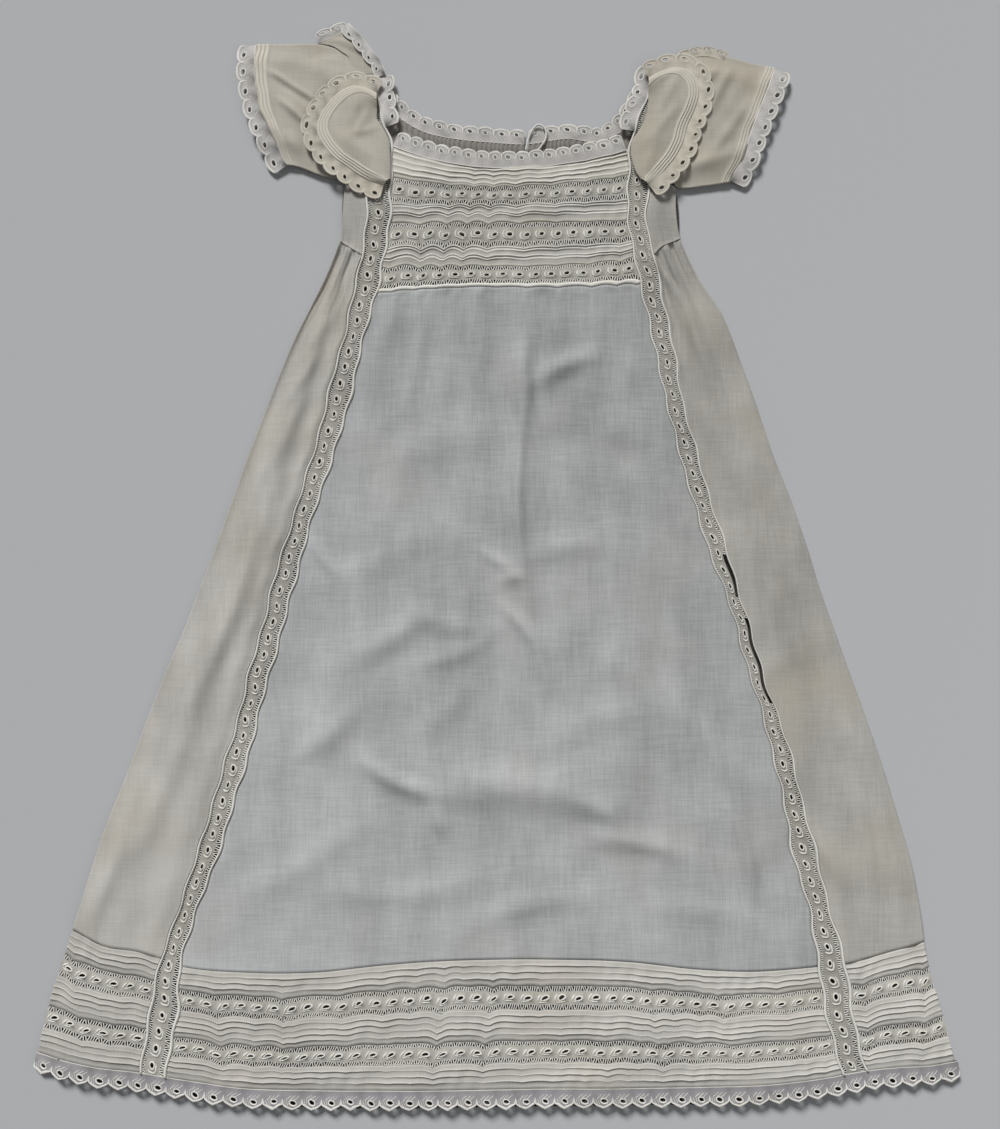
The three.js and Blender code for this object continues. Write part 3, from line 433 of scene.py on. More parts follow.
# Each tuck ends in a folded edge with a shadow below; those of the yoke show a second ridge at their seam
lap = {"at": (0, 0.3, 0.6, 0.76, 0.85, 0.92), "rise": (0, 0.1, 0.4, 0.82, 1, 0.85)}
tucks = {
    "lapped": {**lap, "bright": (3, 4), "height": 0.95, "finishes": ("tuckedCloth", "hemThread", "tuckedCloth")},
    "paired": {"at": (0, 0.06, 0.12, 0.19, 0.22, 0.36, 0.39, 0.46, 0.53, 0.57, 0.75),
               "rise": (0.1, 0.75, 1, 0.75, 0, 0, 0.75, 1, 0.75, 0.25, 0.3), "bright": (1, 2, 6, 7),
               "height": 1, "finishes": ("tuckedCloth", "thread", "yokeCloth")},
    "soft": {**lap, "bright": (2, 3), "height": 0.7, "finishes": ("yokeCloth", "thread", "yokeCloth")},
    "fine": {"at": (0, 0.16, 0.4, 0.62, 0.8, 0.9), "rise": (0, 0.45, 0.75, 0.95, 1, 0.75),
             "bright": (1, 2, 3, 4), "height": 0.8},
}


def tuckRows(kind, count, height):
    # where the rows of some tucks lie, their rise, and which are the bright folded edges
    tuck = tucks[kind]
    steps = [k + share for k in range(count) for share in tuck["at"]]
    rise = [high * height for _ in range(count) for high in tuck["rise"]]
    bright = {k * len(tuck["at"]) + i for k in range(count) for i in tuck["bright"]}
    return steps, rise, bright


def tuckPlan(kind, count, plain):
    # the same as shares of a strip that ends in plain cloth
    steps, rise, bright = tuckRows(kind, count, tucks[kind]["height"])
    pitch = (1 - plain) / count
    return [step * pitch for step in steps] + [1 - plain, 1 - plain / 2, 1.0], rise + [0, 0, 0], bright


def tuckedStrip(name, spot, columns, kind, count, plain, replaced, seed):
    at, rise, bright = tuckPlan(kind, count, plain)
    bm, u, v = gridOf(columns, len(at) - 1, None, at)
    markRows(bm, len(at) - 1, bright)
    markRows(bm, len(at) - 1, {len(at) - 3, len(at) - 2}, finish=2)
    x, y = spot(u, v)
    swing = 4 * v * (1 - v)
    y = y + 0.9 * swing * pucker(x * 1.1 + 3, seed)
    lumps = 0.28 * np.sin(x / 1.9 + 2 * np.sin(x / 13 + seed) + 2.5 * v) * np.sin(x / 23 + seed) ** 2
    fading = 0.62 + 0.38 * np.sin(x / 14 + 7 * v + 3 * seed)
    z = frontHeight(x, y) + np.interp(v, at, rise) * fading + swing * lumps
    return finishPiece(name, bm, (x, y, z), tucks[kind]["finishes"], [replaced], walls["thin"])


def ringStack(bm, rings, threadBands):
    # joins closed loops of points, from the innermost out; some bands of faces are thread
    bands, count = len(rings) - 1, len(rings[0])
    made = bmesh.ops.create_grid(bm, x_segments=bands, y_segments=count, size=0.5)["verts"]
    for face in {face for vert in made for face in vert.link_faces}:
        band = int((face.calc_center_median().x + 0.5) * bands)
        face.material_index = 1 if band in threadBands else 0
    for vert in made:
        vert.co = rings[round((vert.co.x + 0.5) * bands)][round((vert.co.y + 0.5) * count) % count]


def headings(path):
    heading = np.gradient(path, axis=0)
    return heading / np.linalg.norm(heading, axis=1)[:, None]


def ridgeAlong(bm, path, width, height, finish=1, tip=0.35):
    # a stitched ridge lying along a path, mostly thin at its ends
    path = np.asarray(path, float)
    count = len(path) - 1
    made = bmesh.ops.create_grid(bm, x_segments=count, y_segments=2, size=0.5)["verts"]
    heading = headings(path)
    for vert in made:
        i = int(round((vert.co.x + 0.5) * count))
        side = 2 * vert.co.y  # -1, 0 or 1 across the ridge
        ends = tip if i in (0, count) else 1
        across = Vector((-heading[i][1], heading[i][0], 0)) * side * width / 2 * ends
        vert.co = Vector(path[i]) + across + Vector((0, 0, height * (1 - abs(side)) * ends))
    for face in {face for vert in made for face in vert.link_faces}:
        face.material_index = finish


def ovalAt(middle, long, wide, turn, angles, h, spur=0.0):
    # an oval round a point, with a spur at its lower left, read in the given directions
    points = []
    for angle in angles:
        c, s = math.cos(angle - turn), math.sin(angle - turn)
        reach = long * wide / math.hypot(wide * c, long * s)
        reach += spur * math.exp(-((angle - math.radians(215)) / 0.33) ** 2)
        points.append((middle[0] + reach * math.cos(angle), middle[1] + reach * math.sin(angle), h))
    return points


def templateMesh(name, build, kind, strokes=()):
    # the strokes are stitched ridges: width, height, lift and path
    bm = bmesh.new()
    build(bm, kind)
    for width, height, lift, path in strokes:
        ridgeAlong(bm, [(*spot, lift) for spot in path], width, height)
    bmesh.ops.remove_doubles(bm, verts=bm.verts, dist=1e-5)
    mesh = bpy.data.meshes.new(name)
    bm.to_mesh(mesh)
    bm.free()
    return mesh


# One repeat of the openwork insertion: an eyelet in a raised ring, with an angled stroke at its left and foot
eyelet = {"pitch": 10.9, "half": 5.5, "points": 12, "long": 1.75, "wide": 1.15, "turn": 0.45, "middle": (0.9, 0.3),
          "spur": 1.1}
eyeletStrokes = {
    "hook": [(1.15, 0.6, 0.1, [(-2.2, 3.3), (-3.3, 1.2), (-3.6, -1.2), (-3.2, -2.7), (-1.4, -3.2), (0.9, -3),
                               (2.9, -2.3)])],
    "leaf": [(1.5, 0.7, 0.1, [(-1.4, 3.3), (-2.9, 1.2), (-4.2, -2.3)]),
             (1.1, 0.5, 0.1, [(-3.6, -2.9), (-1.2, -3.1), (1.8, -3)])],
}


def eyeletCell(bm, spur):
    angles = [2 * math.pi * (k + 0.5) / eyelet["points"] for k in range(eyelet["points"])]

    def oval(grow, h):
        return ovalAt(eyelet["middle"], eyelet["long"] + grow, eyelet["wide"] + grow, eyelet["turn"], angles, h, spur)

    edge = []
    for angle in angles:
        c, s = math.cos(angle), math.sin(angle)
        reach = 1 / max(abs(c), abs(s))
        edge.append((eyelet["pitch"] / 2 * c * reach, eyelet["half"] * s * reach, 0))
    ringStack(bm, [oval(-0.05, -0.35), oval(0.1, 0.30), oval(0.55, 0.75), oval(1.1, 0), edge], {1, 2})


# A run of drawn-thread ladder: slanted bars over an open slot, between two edges of net
ladder = {"pitch": 1.45, "repeats": 10, "bar": 0.54, "slant": 0.48, "slot": 0.86}


def ladderRun(bm, repeats):
    slot, pitch = ladder["slot"], ladder["pitch"]
    for k in range(repeats):
        a = (k + 0.5) * pitch
        slant = ladder["slant"] if k % 4 < 2 else -0.7 * ladder["slant"]
        ridgeAlong(bm, [(a - slant, -slot - 0.06, 0), (a + slant, slot + 0.06, 0)], ladder["bar"], 0.15, 1, 1)
    for low, high in ((-1, -slot), (slot, 1)):
        edge = [(pitch * repeats * share, (low + high) / 2, 0) for share in np.linspace(0, 1, 7)]
        ridgeAlong(bm, edge, high - low, 0.05, 0, 1)


# One scallop of the edging: a buttonholed lobe round an eyelet, and slanted stitches in its heading
scallop = {"pitch": 12.0, "depth": 11.3, "round": 8.7, "pointed": 7.6, "lap": 1.2, "eye": (0.4, 6.6),
           "eyeSize": (1.75, 1.05), "eyeTurn": 0.35, "middle": 5.8, "half": 5.6}
scallopStrokes = {
    "round": [(1.2, 0.35, 0, [(a, 0.6), (a + 2.6, 4.2)]) for a in (-4, -1, 2)]
    + [(0.9, 0.45, 0, [(a, 5), (a + 0.8, 8.6)]) for a in (-4.6, -3.2)],
    "pointed": [(1.25, 0.7, 0.05, [(a, 4.9), (a + 3, 2.3)]) for a in (-3.6, -1.2, 1.4)]
    + [(0.95, 0.65, 0.05, [(a - 0.2, 5), (a + 0.8, 8.2)]) for a in (-4.4, -3.1)],
}


def lobeOutline(peak):
    half = scallop["pitch"] / 2
    outline = [(a, -scallop["lap"]) for a in np.linspace(-half, half, 3)]
    valley = scallop[peak]
    outline += [(half, valley * 0.5), (half, valley)]
    for angle in np.linspace(22, 158, 7):
        c, s = math.cos(math.radians(angle)), math.sin(math.radians(angle))
        lobe = s ** 1.3 if peak == "round" else (1 - abs(c)) ** 0.7
        outline.append((half * c, valley + (scallop["depth"] - valley) * lobe))
    return outline + [(-half, valley), (-half, valley * 0.5)]


def scallopCell(bm, peak):
    outline = lobeOutline(peak)
    ex, ey = scallop["eye"]
    angles = [math.atan2(b - ey, a - ex) for a, b in outline]

    def eye(grow, h):
        long, wide = scallop["eyeSize"]
        return ovalAt(scallop["eye"], long + grow, wide + grow, scallop["eyeTurn"], angles, h)

    def inset(by, h):
        # the outline drawn in along its lobe, kept at its sides
        points = []
        for a, b in outline:
            lobe = float(smoothStep((b - scallop[peak] + 1.5) / 2.5))
            pull = by * lobe / math.hypot(a - ex, b - ey)
            lap = 0.4 * by if b < 0 else 0
            points.append((between(a, ex, pull), between(b, ey, pull) + lap, h * lobe + 0.2 * (b < 0)))
        return points

    ring = 0.3 if peak == "round" else 0.5
    ringStack(bm, [eye(0, -0.3), eye(0.4, ring), eye(0.85, 0.05), inset(1.35, 0.0), inset(0.65, 0.6), inset(0, 0.1)],
              {0, 1, 3, 4})


templates = {
    "eyelet": templateMesh("eyelet repeat", eyeletCell, 0.0, eyeletStrokes["hook"]),
    "leafEyelet": templateMesh("leaf eyelet repeat", eyeletCell, eyelet["spur"], eyeletStrokes["leaf"]),
    "ladder": templateMesh("ladder repeat", ladderRun, ladder["repeats"]),
    "scallop": templateMesh("scallop repeat", scallopCell, "round", scallopStrokes["round"]),
    "hemScallop": templateMesh("hem scallop repeat", scallopCell, "pointed", scallopStrokes["pointed"]),
}
for label, template in templates.items():
    print(label, len(template.polygons), "faces")


def stampRow(bm, template, count, pitch, halfA=0.0, midB=0.0, halfB=0.0, seed=0, left=()):
    # repeats a template along a row, each turned and sized a little
    mesh = templates[template]
    points = np.empty(len(mesh.vertices) * 3)
    mesh.vertices.foreach_get("co", points)
    points = points.reshape(-1, 3)
    chance = np.random.default_rng(seed)
    rows = []
    for k in range(count):
        turn, grow, shift = chance.normal(0, 0.14), chance.uniform(0.9, 1.12), chance.normal(0, 0.3, 2)
        if k in left:
            continue
        bm.from_mesh(mesh)
        spots = points.copy()
        if halfA:
            a, b = points[:, 0], points[:, 1] - midB
            inner = smoothStep(1.5 * (1 - np.maximum(np.abs(a) / halfA, np.abs(b) / halfB)))
            c, s, g = np.cos(turn * inner), np.sin(turn * inner), 1 + (grow - 1) * inner
            spots[:, 0] = (a * c - b * s) * g + shift[0] * inner
            spots[:, 1] = (a * s + b * c) * g + midB + shift[1] * inner
        spots[:, 0] += k * pitch
        rows.append(spots)
    return np.concatenate(rows)


def insertionBand(name, spot, lengthMm, cells, layout, replaced, seed, torn=()):
    # layout: where the net and the ladder slots lie as shares across the band
    bm, pitch = bmesh.new(), eyelet["pitch"]
    net = stampRow(bm, layout["eyelet"], cells, pitch, pitch / 2, 0, eyelet["half"], seed)
    along = (net[:, 0] + pitch / 2) / (cells * pitch)
    side = -1 if layout["upright"] else 1
    across = between(*layout["net"], 0.5 + 0.5 * side * net[:, 1] / eyelet["half"])
    parts = [np.stack([along, across, net[:, 2]], 1)]
    run = ladder["pitch"] * ladder["repeats"]
    runs = max(1, round(lengthMm / run))
    for middle, half in layout["ladders"]:
        bars = stampRow(bm, "ladder", runs, run, left=torn if middle > 0.5 else ())
        closed = 0.86 + 0.34 * np.sin(bars[:, 0] / 23 + seed) * np.sin(bars[:, 0] / 61 + 2 * seed)
        inner = np.where(np.abs(bars[:, 1]) < 0.95, bars[:, 1] * np.clip(closed, 0.55, 1.0), bars[:, 1])
        parts.append(np.stack([bars[:, 0] / (runs * run), middle + side * half * inner, bars[:, 2]], 1))
    shares = np.concatenate(parts)
    if layout["upright"]:
        x, y = spot(shares[:, 1], 1 - shares[:, 0])
    else:
        x, y = spot(shares[:, 0], 1 - shares[:, 1])
    z = frontHeight(x, y) - 0.05 + shares[:, 2]
    return finishPiece(name, bm, (x, y, z), layout["finishes"], [replaced])


def alongPath(points, shares):
    # places on a smooth path by shares of its length, with the direction to its right
    fine = np.linspace(0, len(points) - 1, 600)
    x, y, z = (line(fine) for line in linesOf(points))
    length = np.concatenate([[0], np.cumsum(np.hypot(np.diff(x), np.diff(y)))])
    dx, dy = np.gradient(x), np.gradient(y)
    size = np.hypot(dx, dy)
    at = shares * length[-1]
    inner = np.clip(at, 0, length[-1])
    over = at - inner
    x, y, z, tx, ty = (np.interp(inner, length, row) for row in (x, y, z, dx / size, dy / size))
    return x + tx * over, y + ty * over, z, ty, -tx


def edgingStrip(name, points, reach, count, replaced, flutter, seed, level=None, template="scallop",
                finishes=("edgingCloth", "thread"), thickness=0.0, lining=0):
    # scallops along a path, reaching to its right hand side; without a level they lie as high as the path
    bm, pitch = bmesh.new(), scallop["pitch"]
    local = stampRow(bm, template, count, pitch, pitch / 2, scallop["middle"], scallop["half"], seed)
    bmesh.ops.reverse_faces(bm, faces=bm.faces)
    x, y, z, nx, ny = alongPath(points, (local[:, 0] + pitch / 2) / (count * pitch))
    out = local[:, 1] * reach / scallop["depth"]
    x, y = x + nx * out, y + ny * out
    base = z if level is None else level(x, y)
    free = np.clip(out / reach, 0, 1)
    wave = flutter * np.sin(local[:, 0] / pitch * 2.1 + seed) * free ** 1.5 - 0.4 * free ** 3
    return finishPiece(name, bm, (x, y, base + wave + local[:, 2]), finishes, replaced,
                       thickness, lining)


print("pattern pieces ready")

# Back of the gown
waistY = 199.0
sewnHem = hemLine(hemShares["edging"][0])


def backFlat(x, y, u=0, v=0):
    return levels["back"] + 0 * x


# the skirt back's upper face takes the near-black painted shade cloth, so that eyelets and ladders above it look dark
backSkirt = layCloth("backSkirt", panel(sideL, sideR, fixedAt(waistY), sewnHem, -70), 60, 60, backFlat,
                     ["insideCloth", "backCloth"], ["back_skirt"], walls["skirt"], lining=1)
backNeck = lineThrough((-101, 319), (-90, 317), (-82, 310), (-74, 299), (-54, 284.5), (-33, 278.5), (-1, 275),
                       (21, 274), (48, 278), (70, 275.5), (86, 284), (96, 298), (104, 311), (113, 318), (128, 322))
armL = lineThrough((190, -106), (246, -104.5), (258, -97), (272, -92.6), (300, -98.2), (330, -100.4))
armR = lineThrough((190, 124), (240, 122.6), (252, 114.5), (272, 110.6), (300, 119.2), (333, 128.6))
backPlan = {"gathers": 0.45, "reach": 16, "casing": 6.5, "casingWide": 1.4, "casingDeep": 0.5, "insideFrom": 27}


def gatheredBack(x, y, u, v):
    below = backNeck(x) - y
    folds = np.sin(x * 1.9 + 2.4 * np.sin(x / 6)) * np.exp(-(below / backPlan["reach"]) ** 2)
    casing = np.exp(-((below - backPlan["casing"]) / backPlan["casingWide"]) ** 2)
    return levels["back"] + backPlan["gathers"] * (1 + folds) - backPlan["casingDeep"] * casing


# near the neck the upper face takes the casing cloth darkened with painted shade; from the row given in backPlan down
# it takes the near-black painted shade cloth
backBodices = [
    layCloth("backBodice_" + side, panel(a, b, backNeck, fixedAt(waistY), 240), 190, 60, gatheredBack,
             ["casingCloth", "insideCloth", "backCloth"], ["back_bodice_" + side], walls["double"],
             lining=2, insideFrom=backPlan["insideFrom"])
    for side, a, b in (("left", armL, fixedAt(19.1)), ("right", fixedAt(22.1), armR))
]


def lineAcross(line, start, end, up, z):
    return [(a, float(line(a)) + up, z) for a in np.linspace(start, end, 60)]


# the back hem edging's upper faces and stitches are painted shade, so the hem eyelets above look black; its under
# faces take the edging cloth
backHem = edgingStrip("backHemEdging", lineAcross(sewnHem, -292, 292, -0.8, 1.1), 11.0, 47, ["back_hem_edging"],
                      0, 7, backFlat, "hemScallop", ("insideCloth", "insideCloth", "edgingCloth"), walls["thin"], 2)
backNeckEdgings = [
    edgingStrip("backNeckEdging_" + side, lineAcross(backNeck, start, end, 0.8, 1.4), 10, count,
                ["back_neck_edging_" + side], 0.8, seed)
    for side, start, end, count, seed in (("left", 18.9, -80, 10, 3), ("right", 102, 22.3, 9, 4))
]
print("back laid")

# Skirt panels and the small sides of the bodice: two seams, the waist and the underarm
sideLines = {
    "left": (sideL, robeLOut, lineThrough((-106, 204.6), (-99, 199.5), (-92, 194.8)),
             lineThrough((-107, 245.5), (-97, 256), (-88, 268))),
    "right": (robeROut, sideR, lineThrough((106, 194), (111, 199.6), (124, 206.6)),
              lineThrough((103, 266), (114, 250), (124, 240))),
}
# Gathers below a seam: how many across, phase, how far down they reach, height
sideGathers = [(2.3, 0.4, 170, 1), (4.4, 1.9, 70, 0.5), (7.9, 3.1, 22, 0.3), (1.3, 2.2, 900, 0.9)]
frontGathers = [(5.4, 0.8, 45, 0.6), (12.2, 2.1, 20, 0.4), (23, 0.3, 9, 0.2)]


def gathered(plan, lengthMm):
    def relief(x, y, u, v):
        total = frontHeight(x, y)
        for count, phase, reach, high in plan:
            lean = phase + 1.6 * np.sin(3.1 * u + phase) + 1.1 * np.sin(9 * u + 2 * phase)
            waves = np.sin(2 * np.pi * count * u + lean + 0.8 * np.sin(4 * v + 5 * u))
            total = total + high * np.exp(-v * lengthMm / reach) * waves * smoothStep(v * 90)
        return np.maximum(total, levels["lowest"])

    return relief


def bodiceCloth(x, y, u, v):
    # puckers above the waist seam, with slack folds over the rest
    up = 50 * (1 - v)
    seam = 0.7 * np.exp(-(up / 1.6) ** 2) + 0.5 * np.exp(-up / 9) * np.sin(9 * u + 1) * np.sin(31 * u)
    return frontHeight(x, y) + seam + 0.5 * np.sin(5 * u + 1.5 * v) * np.sin(3.1 * v)


frontPanel = layCloth("frontPanel", panel(robeLIn, robeRIn, yoke[7], hemTop, -40), 190, 220,
                      gathered(frontGathers, 430), ["frontCloth"], ["front_skirt_centre"])
sidePanels = [
    layCloth("sidePanel_" + side, panel(a, b, waist, hemTop, -40), 60, 240, gathered(sideGathers, 465),
             ["sideCloth"], ["front_skirt_side_" + side])
    for side, (a, b, waist, _) in sideLines.items()
]
bodiceSides = [
    layCloth("bodiceSide_" + side, panel(a, b, underarm, moved(waist, -1.0), 225), 24, 60, bodiceCloth,
             ["sideCloth"], ["bodice_side_" + side])
    for side, (a, b, waist, underarm) in sideLines.items()
]
print("skirt laid")

# Yoke: a name, how many tucks, and how much of them is plain or how many eyelets lie across
crossLayout = {"eyelet": "eyelet", "upright": False, "net": (0.225, 0.775), "ladders": ((0.12, 0.11), (0.88, 0.11)),
               "finishes": ("netCloth", "thread")}
yokePlan = [("topTucks", 4, 0.14), ("insertion1", 0, 15), ("tucks1", 2, 0.20), ("insertion2", 0, 15),
            ("tucks2", 2, 0.14), ("insertion3", 0, 16)]


def nodeName(start, label):
    # "topTucks" is "top_tucks" in the frame, and "tucks1" is "tucks_1"
    return start + "".join(c if c.islower() else "_" + c.lower() for c in label)



for k, (label, count, extra) in enumerate(yokePlan):
    node = nodeName("yoke_", label)
    spot = panel(robeLIn, robeRIn, yoke[k], yoke[k + 1], 215)
    if count:
        kind = "soft" if label == "topTucks" else "paired"
        tuckedStrip("yoke_" + label, spot, 200, kind, count, extra, node, 0.35 * k)
    else:
        insertionBand("yoke_" + label, spot, 162, extra, crossLayout, node, 20 + k)


def roundRise(v, rise):
    return rise * np.sqrt(np.clip(1 - (2 * v - 1) ** 2, 0, 1))


piping = layCloth("yokePiping", panel(robeLIn, robeRIn, moved(yoke[6], 0.3), yoke[7], 171), 160, 6,
                  lambda x, y, u, v: frontHeight(x, y) + roundRise(v, 0.8), ["thread"], ["yoke_piping"])
print("yoke laid")

# Robings with corded edges, which hang on loosely in one stretch of the right one
robing = {
    "layout": {"eyelet": "eyelet", "upright": True, "net": (0.205, 0.70), "ladders": ((0.795, 0.095), (0.15, 0.055)),
               "finishes": ("robingNet", "thread")},
    "cords": {"first": (0.0, 0.10), "second": (0.89, 1.0)}, "rise": 1.2, "torn": (17, 18, 19, 20, 22, 23),
}
robings = []
for side, left, right, top, torn in (("left", robeLOut, robeLIn, 324, ()),
                                     ("right", robeRIn, robeROut, 327, robing["torn"])):
    name = "robing_" + side
    spot = panel(left, right, fixedAt(top), sewnHem, 0)
    robings.append(insertionBand(name, spot, 690, 63, robing["layout"], name, 40 + len(robings), torn))
    for edge, (a, b) in robing["cords"].items():
        bm, u, v = gridOf(6, 420)
        x, y = spot(between(a, b, u), v)
        z = frontHeight(x, y) + roundRise(u, robing["rise"]) + 0.1
        robings.append(finishPiece(name + "_" + edge + "Cord", bm, (x, y, z), ["thread"], [],
                                   walls["cord"]))
print("robings laid")

# Hem rows: side, its two seams, width in mm and eyelets across
hemParts = [("left", sideL, robeLOut, 62, 6), ("centre", robeLIn, robeRIn, 415, 38),
            ("right", robeROut, sideR, 56, 5)]
# How many tucks, and how much of them is plain
hemPlan = {"upperTucks": (3, 0.26), "middleTucks": (4, 0.20), "lowerTucks": (3, 0.30), "upperInsertion": (0, 0),
           "lowerInsertion": (0, 0)}
hemPieces = {"left": [], "centre": [], "right": []}
hemLayout = {**crossLayout, "eyelet": "leafEyelet"}
for k, (label, (count, plain)) in enumerate(hemPlan.items()):
    a, b = hemShares[label]
    node = nodeName("hem_", label) + "_"
    for side, left, right, width, cells in hemParts:
        name = "hem_" + label + "_" + side
        spot = panel(left, right, hemLine(a), hemLine(b), -310)
        if count:
            made = tuckedStrip(name, spot, max(70, width), "lapped", count, plain, node + side, 2.1 * a + 1)
        else:
            made = insertionBand(name, spot, width, cells, hemLayout, node + side, 60 + k + width)
        hemPieces[side].append(made)
hemEdging = edgingStrip("hemEdging", lineAcross(sewnHem, -292, 292, -0.6, 5), 11.4, 48, ["hem_edging"], 0.4, 2,
                        lambda x, y: bodyLevel(x, y) + rippleHeight(x, y), "hemScallop", ("lilacEdging", "thread"))
print("hem laid")

# Sleeves: the cuff and the sewn armhole by height, the upper and lower edges from left to right, creases as
# those of the skirt, and the path of the edging
sleevePlans = {
    "left": {
        "cuff": [(240, -140), (256, -143.5), (262, -147), (279, -155), (293, -161), (308, -165.5), (325, -168),
                 (350, -168)],
        "edges": [(-172, 345.2, 262), (-150, 345.4, 258.8), (-136, 345.7, 256.9), (-121, 345, 251.1),
                  (-108, 340.5, 248.6), (-103.5, 336.5, 251.8), (-98, 331.5, 259.8), (-93.4, 326.5, 271.8),
                  (-90, 322.5, 281)],
        "sewn": [(240, -93.9), (272, -93.9), (300, -94), (330, -86)],
        "creases": [(-141, 314, -34, 38, 2.2, 2.4), (-137, 309, -36, 34, 4, -1.6), (-135, 291, -42, 38, 2.4, 2.2),
                    (-124, 325, -28, 44, 6, 1), (-146, 277, -40, 30, 4, 0.9), (-118, 334, 10, 26, 4, 0.8),
                    (-150, 326, 80, 40, 7, 0.6)],
        "middle": 300, "edging": (344.6, 257.5, -0.2), "seed": 11,
    },
    "right": {
        "cuff": [(235, 157), (246, 160), (262, 168), (279, 174), (296, 180.5), (312, 187), (330, 193.5)],
        "edges": [(108, 331, 280), (111.8, 332.3, 268), (115, 333.5, 254.2), (118.5, 335, 248.8),
                  (123.6, 336.5, 242.2), (142, 337.6, 243.3), (158, 336.6, 245.6), (174, 332, 247),
                  (196, 327, 250)],
        "sewn": [(235, 111.9), (272, 111.9), (300, 120.5), (333, 129.6)],
        "creases": [(150, 306, 62, 50, 4, 2), (160, 284, 55, 46, 4, 1.4), (140, 316, 40, 34, 4, 1.8),
                    (150, 262, 20, 46, 5, 1.2), (166, 312, 70, 40, 5, 0.8), (133, 300, 75, 40, 4, 0.8)],
        "middle": 290, "edging": (246.5, 327, 0.2), "seed": 12,
    },
}
sleeveWidth = 66.0  # mm from cuff to armhole
cuffTucks = {"from": 1.0, "pitch": 2.3, "count": 3, "height": 0.6, "plainFrom": 0.16, "plainRows": 40}
steps, rise, bright = tuckRows("fine", cuffTucks["count"], cuffTucks["height"])
at = [0.0, *((cuffTucks["from"] + step * cuffTucks["pitch"]) / sleeveWidth for step in steps),
      *np.linspace(cuffTucks["plainFrom"], 1, cuffTucks["plainRows"])]
rise = [0.0, *rise, *[0.0] * cuffTucks["plainRows"]]
for side, plan in sleevePlans.items():
    name, left = "sleeve_" + side, side == "left"
    edges = {"columns": ("x", "top", "foot"), "rows": plan["edges"]}
    top, foot = tableLine(edges, "top"), tableLine(edges, "foot")

    def level(x, y):
        t = (top(x) - y) / (top(x) - foot(x))
        return between(levels["fold"], levels["front"], smoothStep(5 * t) * smoothStep(5 * (1 - t)))

    cuff, sewn = lineThrough(*plan["cuff"]), lineThrough(*plan["sewn"])
    a, b = (cuff, sewn) if left else (sewn, cuff)
    bm, u, v = gridOf(len(at) - 1, 80, at if left else [1 - s for s in at][::-1])
    markRows(bm, len(at) - 1, {1 + k if left else len(at) - 3 - k for k in bright}, down=False)
    x, y = panel(a, b, top, foot, plan["middle"])(u, v)
    fromCuff = u if left else 1 - u
    inside = smoothStep(6 * v) * smoothStep(6 * (1 - v))
    x = x + (0.5 * np.sin(v * 17 + 1) + 0.35 * np.sin(v * 31)) * np.exp(-(fromCuff / 0.12) ** 2)
    z = (level(x, y) + np.interp(fromCuff, at, rise) + bumps(plan["creases"], x, y) * inside
         + rippleHeight(x * 1.5, y * 1.5) * inside)
    front = finishPiece(name + "_front", bm, (x, y, z), ["sleeveCloth", "creamThread"], [name + "_front"],
                        walls["thin"])
    under = panel(a, b, moved(top, -1.2), moved(foot, 1.2), plan["middle"])
    back = layCloth(name + "_back", under, 20, 20, backFlat, ["backCloth"], [name + "_back"],
                    walls["double"])
    start, end, out = plan["edging"]
    path = [(float(cuff(t)) + out, t, 5) for t in np.linspace(start, end, 30)]
    edging = edgingStrip("sleeveEdging_" + side, path, 11.7, 7, ["sleeve_edging_" + side], 0.5, plan["seed"],
                         lambda x, y: np.minimum(level(np.clip(x, -168, 190), y), levels["front"]))
print("sleeves laid")

# Shoulder frills: sewn edge and rim, row by row
frillTables = {
    "left": [
        (-82, 296, -82.2, 307.5), (-82, 295, -91, 311.5), (-82, 294, -100, 312.4), (-82, 292.5, -109.2, 307.5),
        (-82, 291, -116.9, 299), (-81.5, 288, -122.6, 288.5), (-79, 284, -123.5, 280), (-76, 279, -119.8, 271.5),
        (-73.3, 272, -112, 261.5), (-72.6, 264, -103, 254.8), (-72.3, 257, -94.5, 248.5), (-72.2, 251, -86, 243.8),
        (-72.2, 246, -77, 241.5),
    ],
    "right": [
        (103.4, 306, 103.8, 318.5), (103.5, 304.5, 113, 323.5), (103.5, 303, 123, 326), (103.4, 301.5, 132, 323.5),
        (103.3, 299.5, 137.6, 316), (103, 297, 138.6, 306.5), (102.2, 292, 136, 296.5), (100.2, 286.5, 132, 287.5),
        (97, 280.5, 129.5, 280.5), (92.5, 274, 127.5, 272.5), (91, 266, 122.5, 262.5), (92.2, 258, 116, 254),
        (94.5, 251, 109.5, 246.5), (97.5, 246, 103, 242),
    ],
}
frill = {"level": 8.2, "swell": 2.3, "tucks": 4, "zone": 8.6, "height": 0.6, "ends": {"left": 11.2, "right": 12.0},
         "seeds": {"left": 15, "right": 16}}
frillCreases = {
    "left": [(-92, 285, 60, 20, 3, 1.5), (-86, 281, 25, 20, 3, 1.2), (-97, 292, 80, 18, 4, 0.8),
             (-96, 268, -40, 26, 5, 0.9)],
    "right": [(117, 306, 62, 44, 4, 1.1), (112, 284, 50, 36, 4, 1), (121, 322, 28, 26, 3, 1.2),
              (105, 264, 70, 26, 4, 0.8)],
}
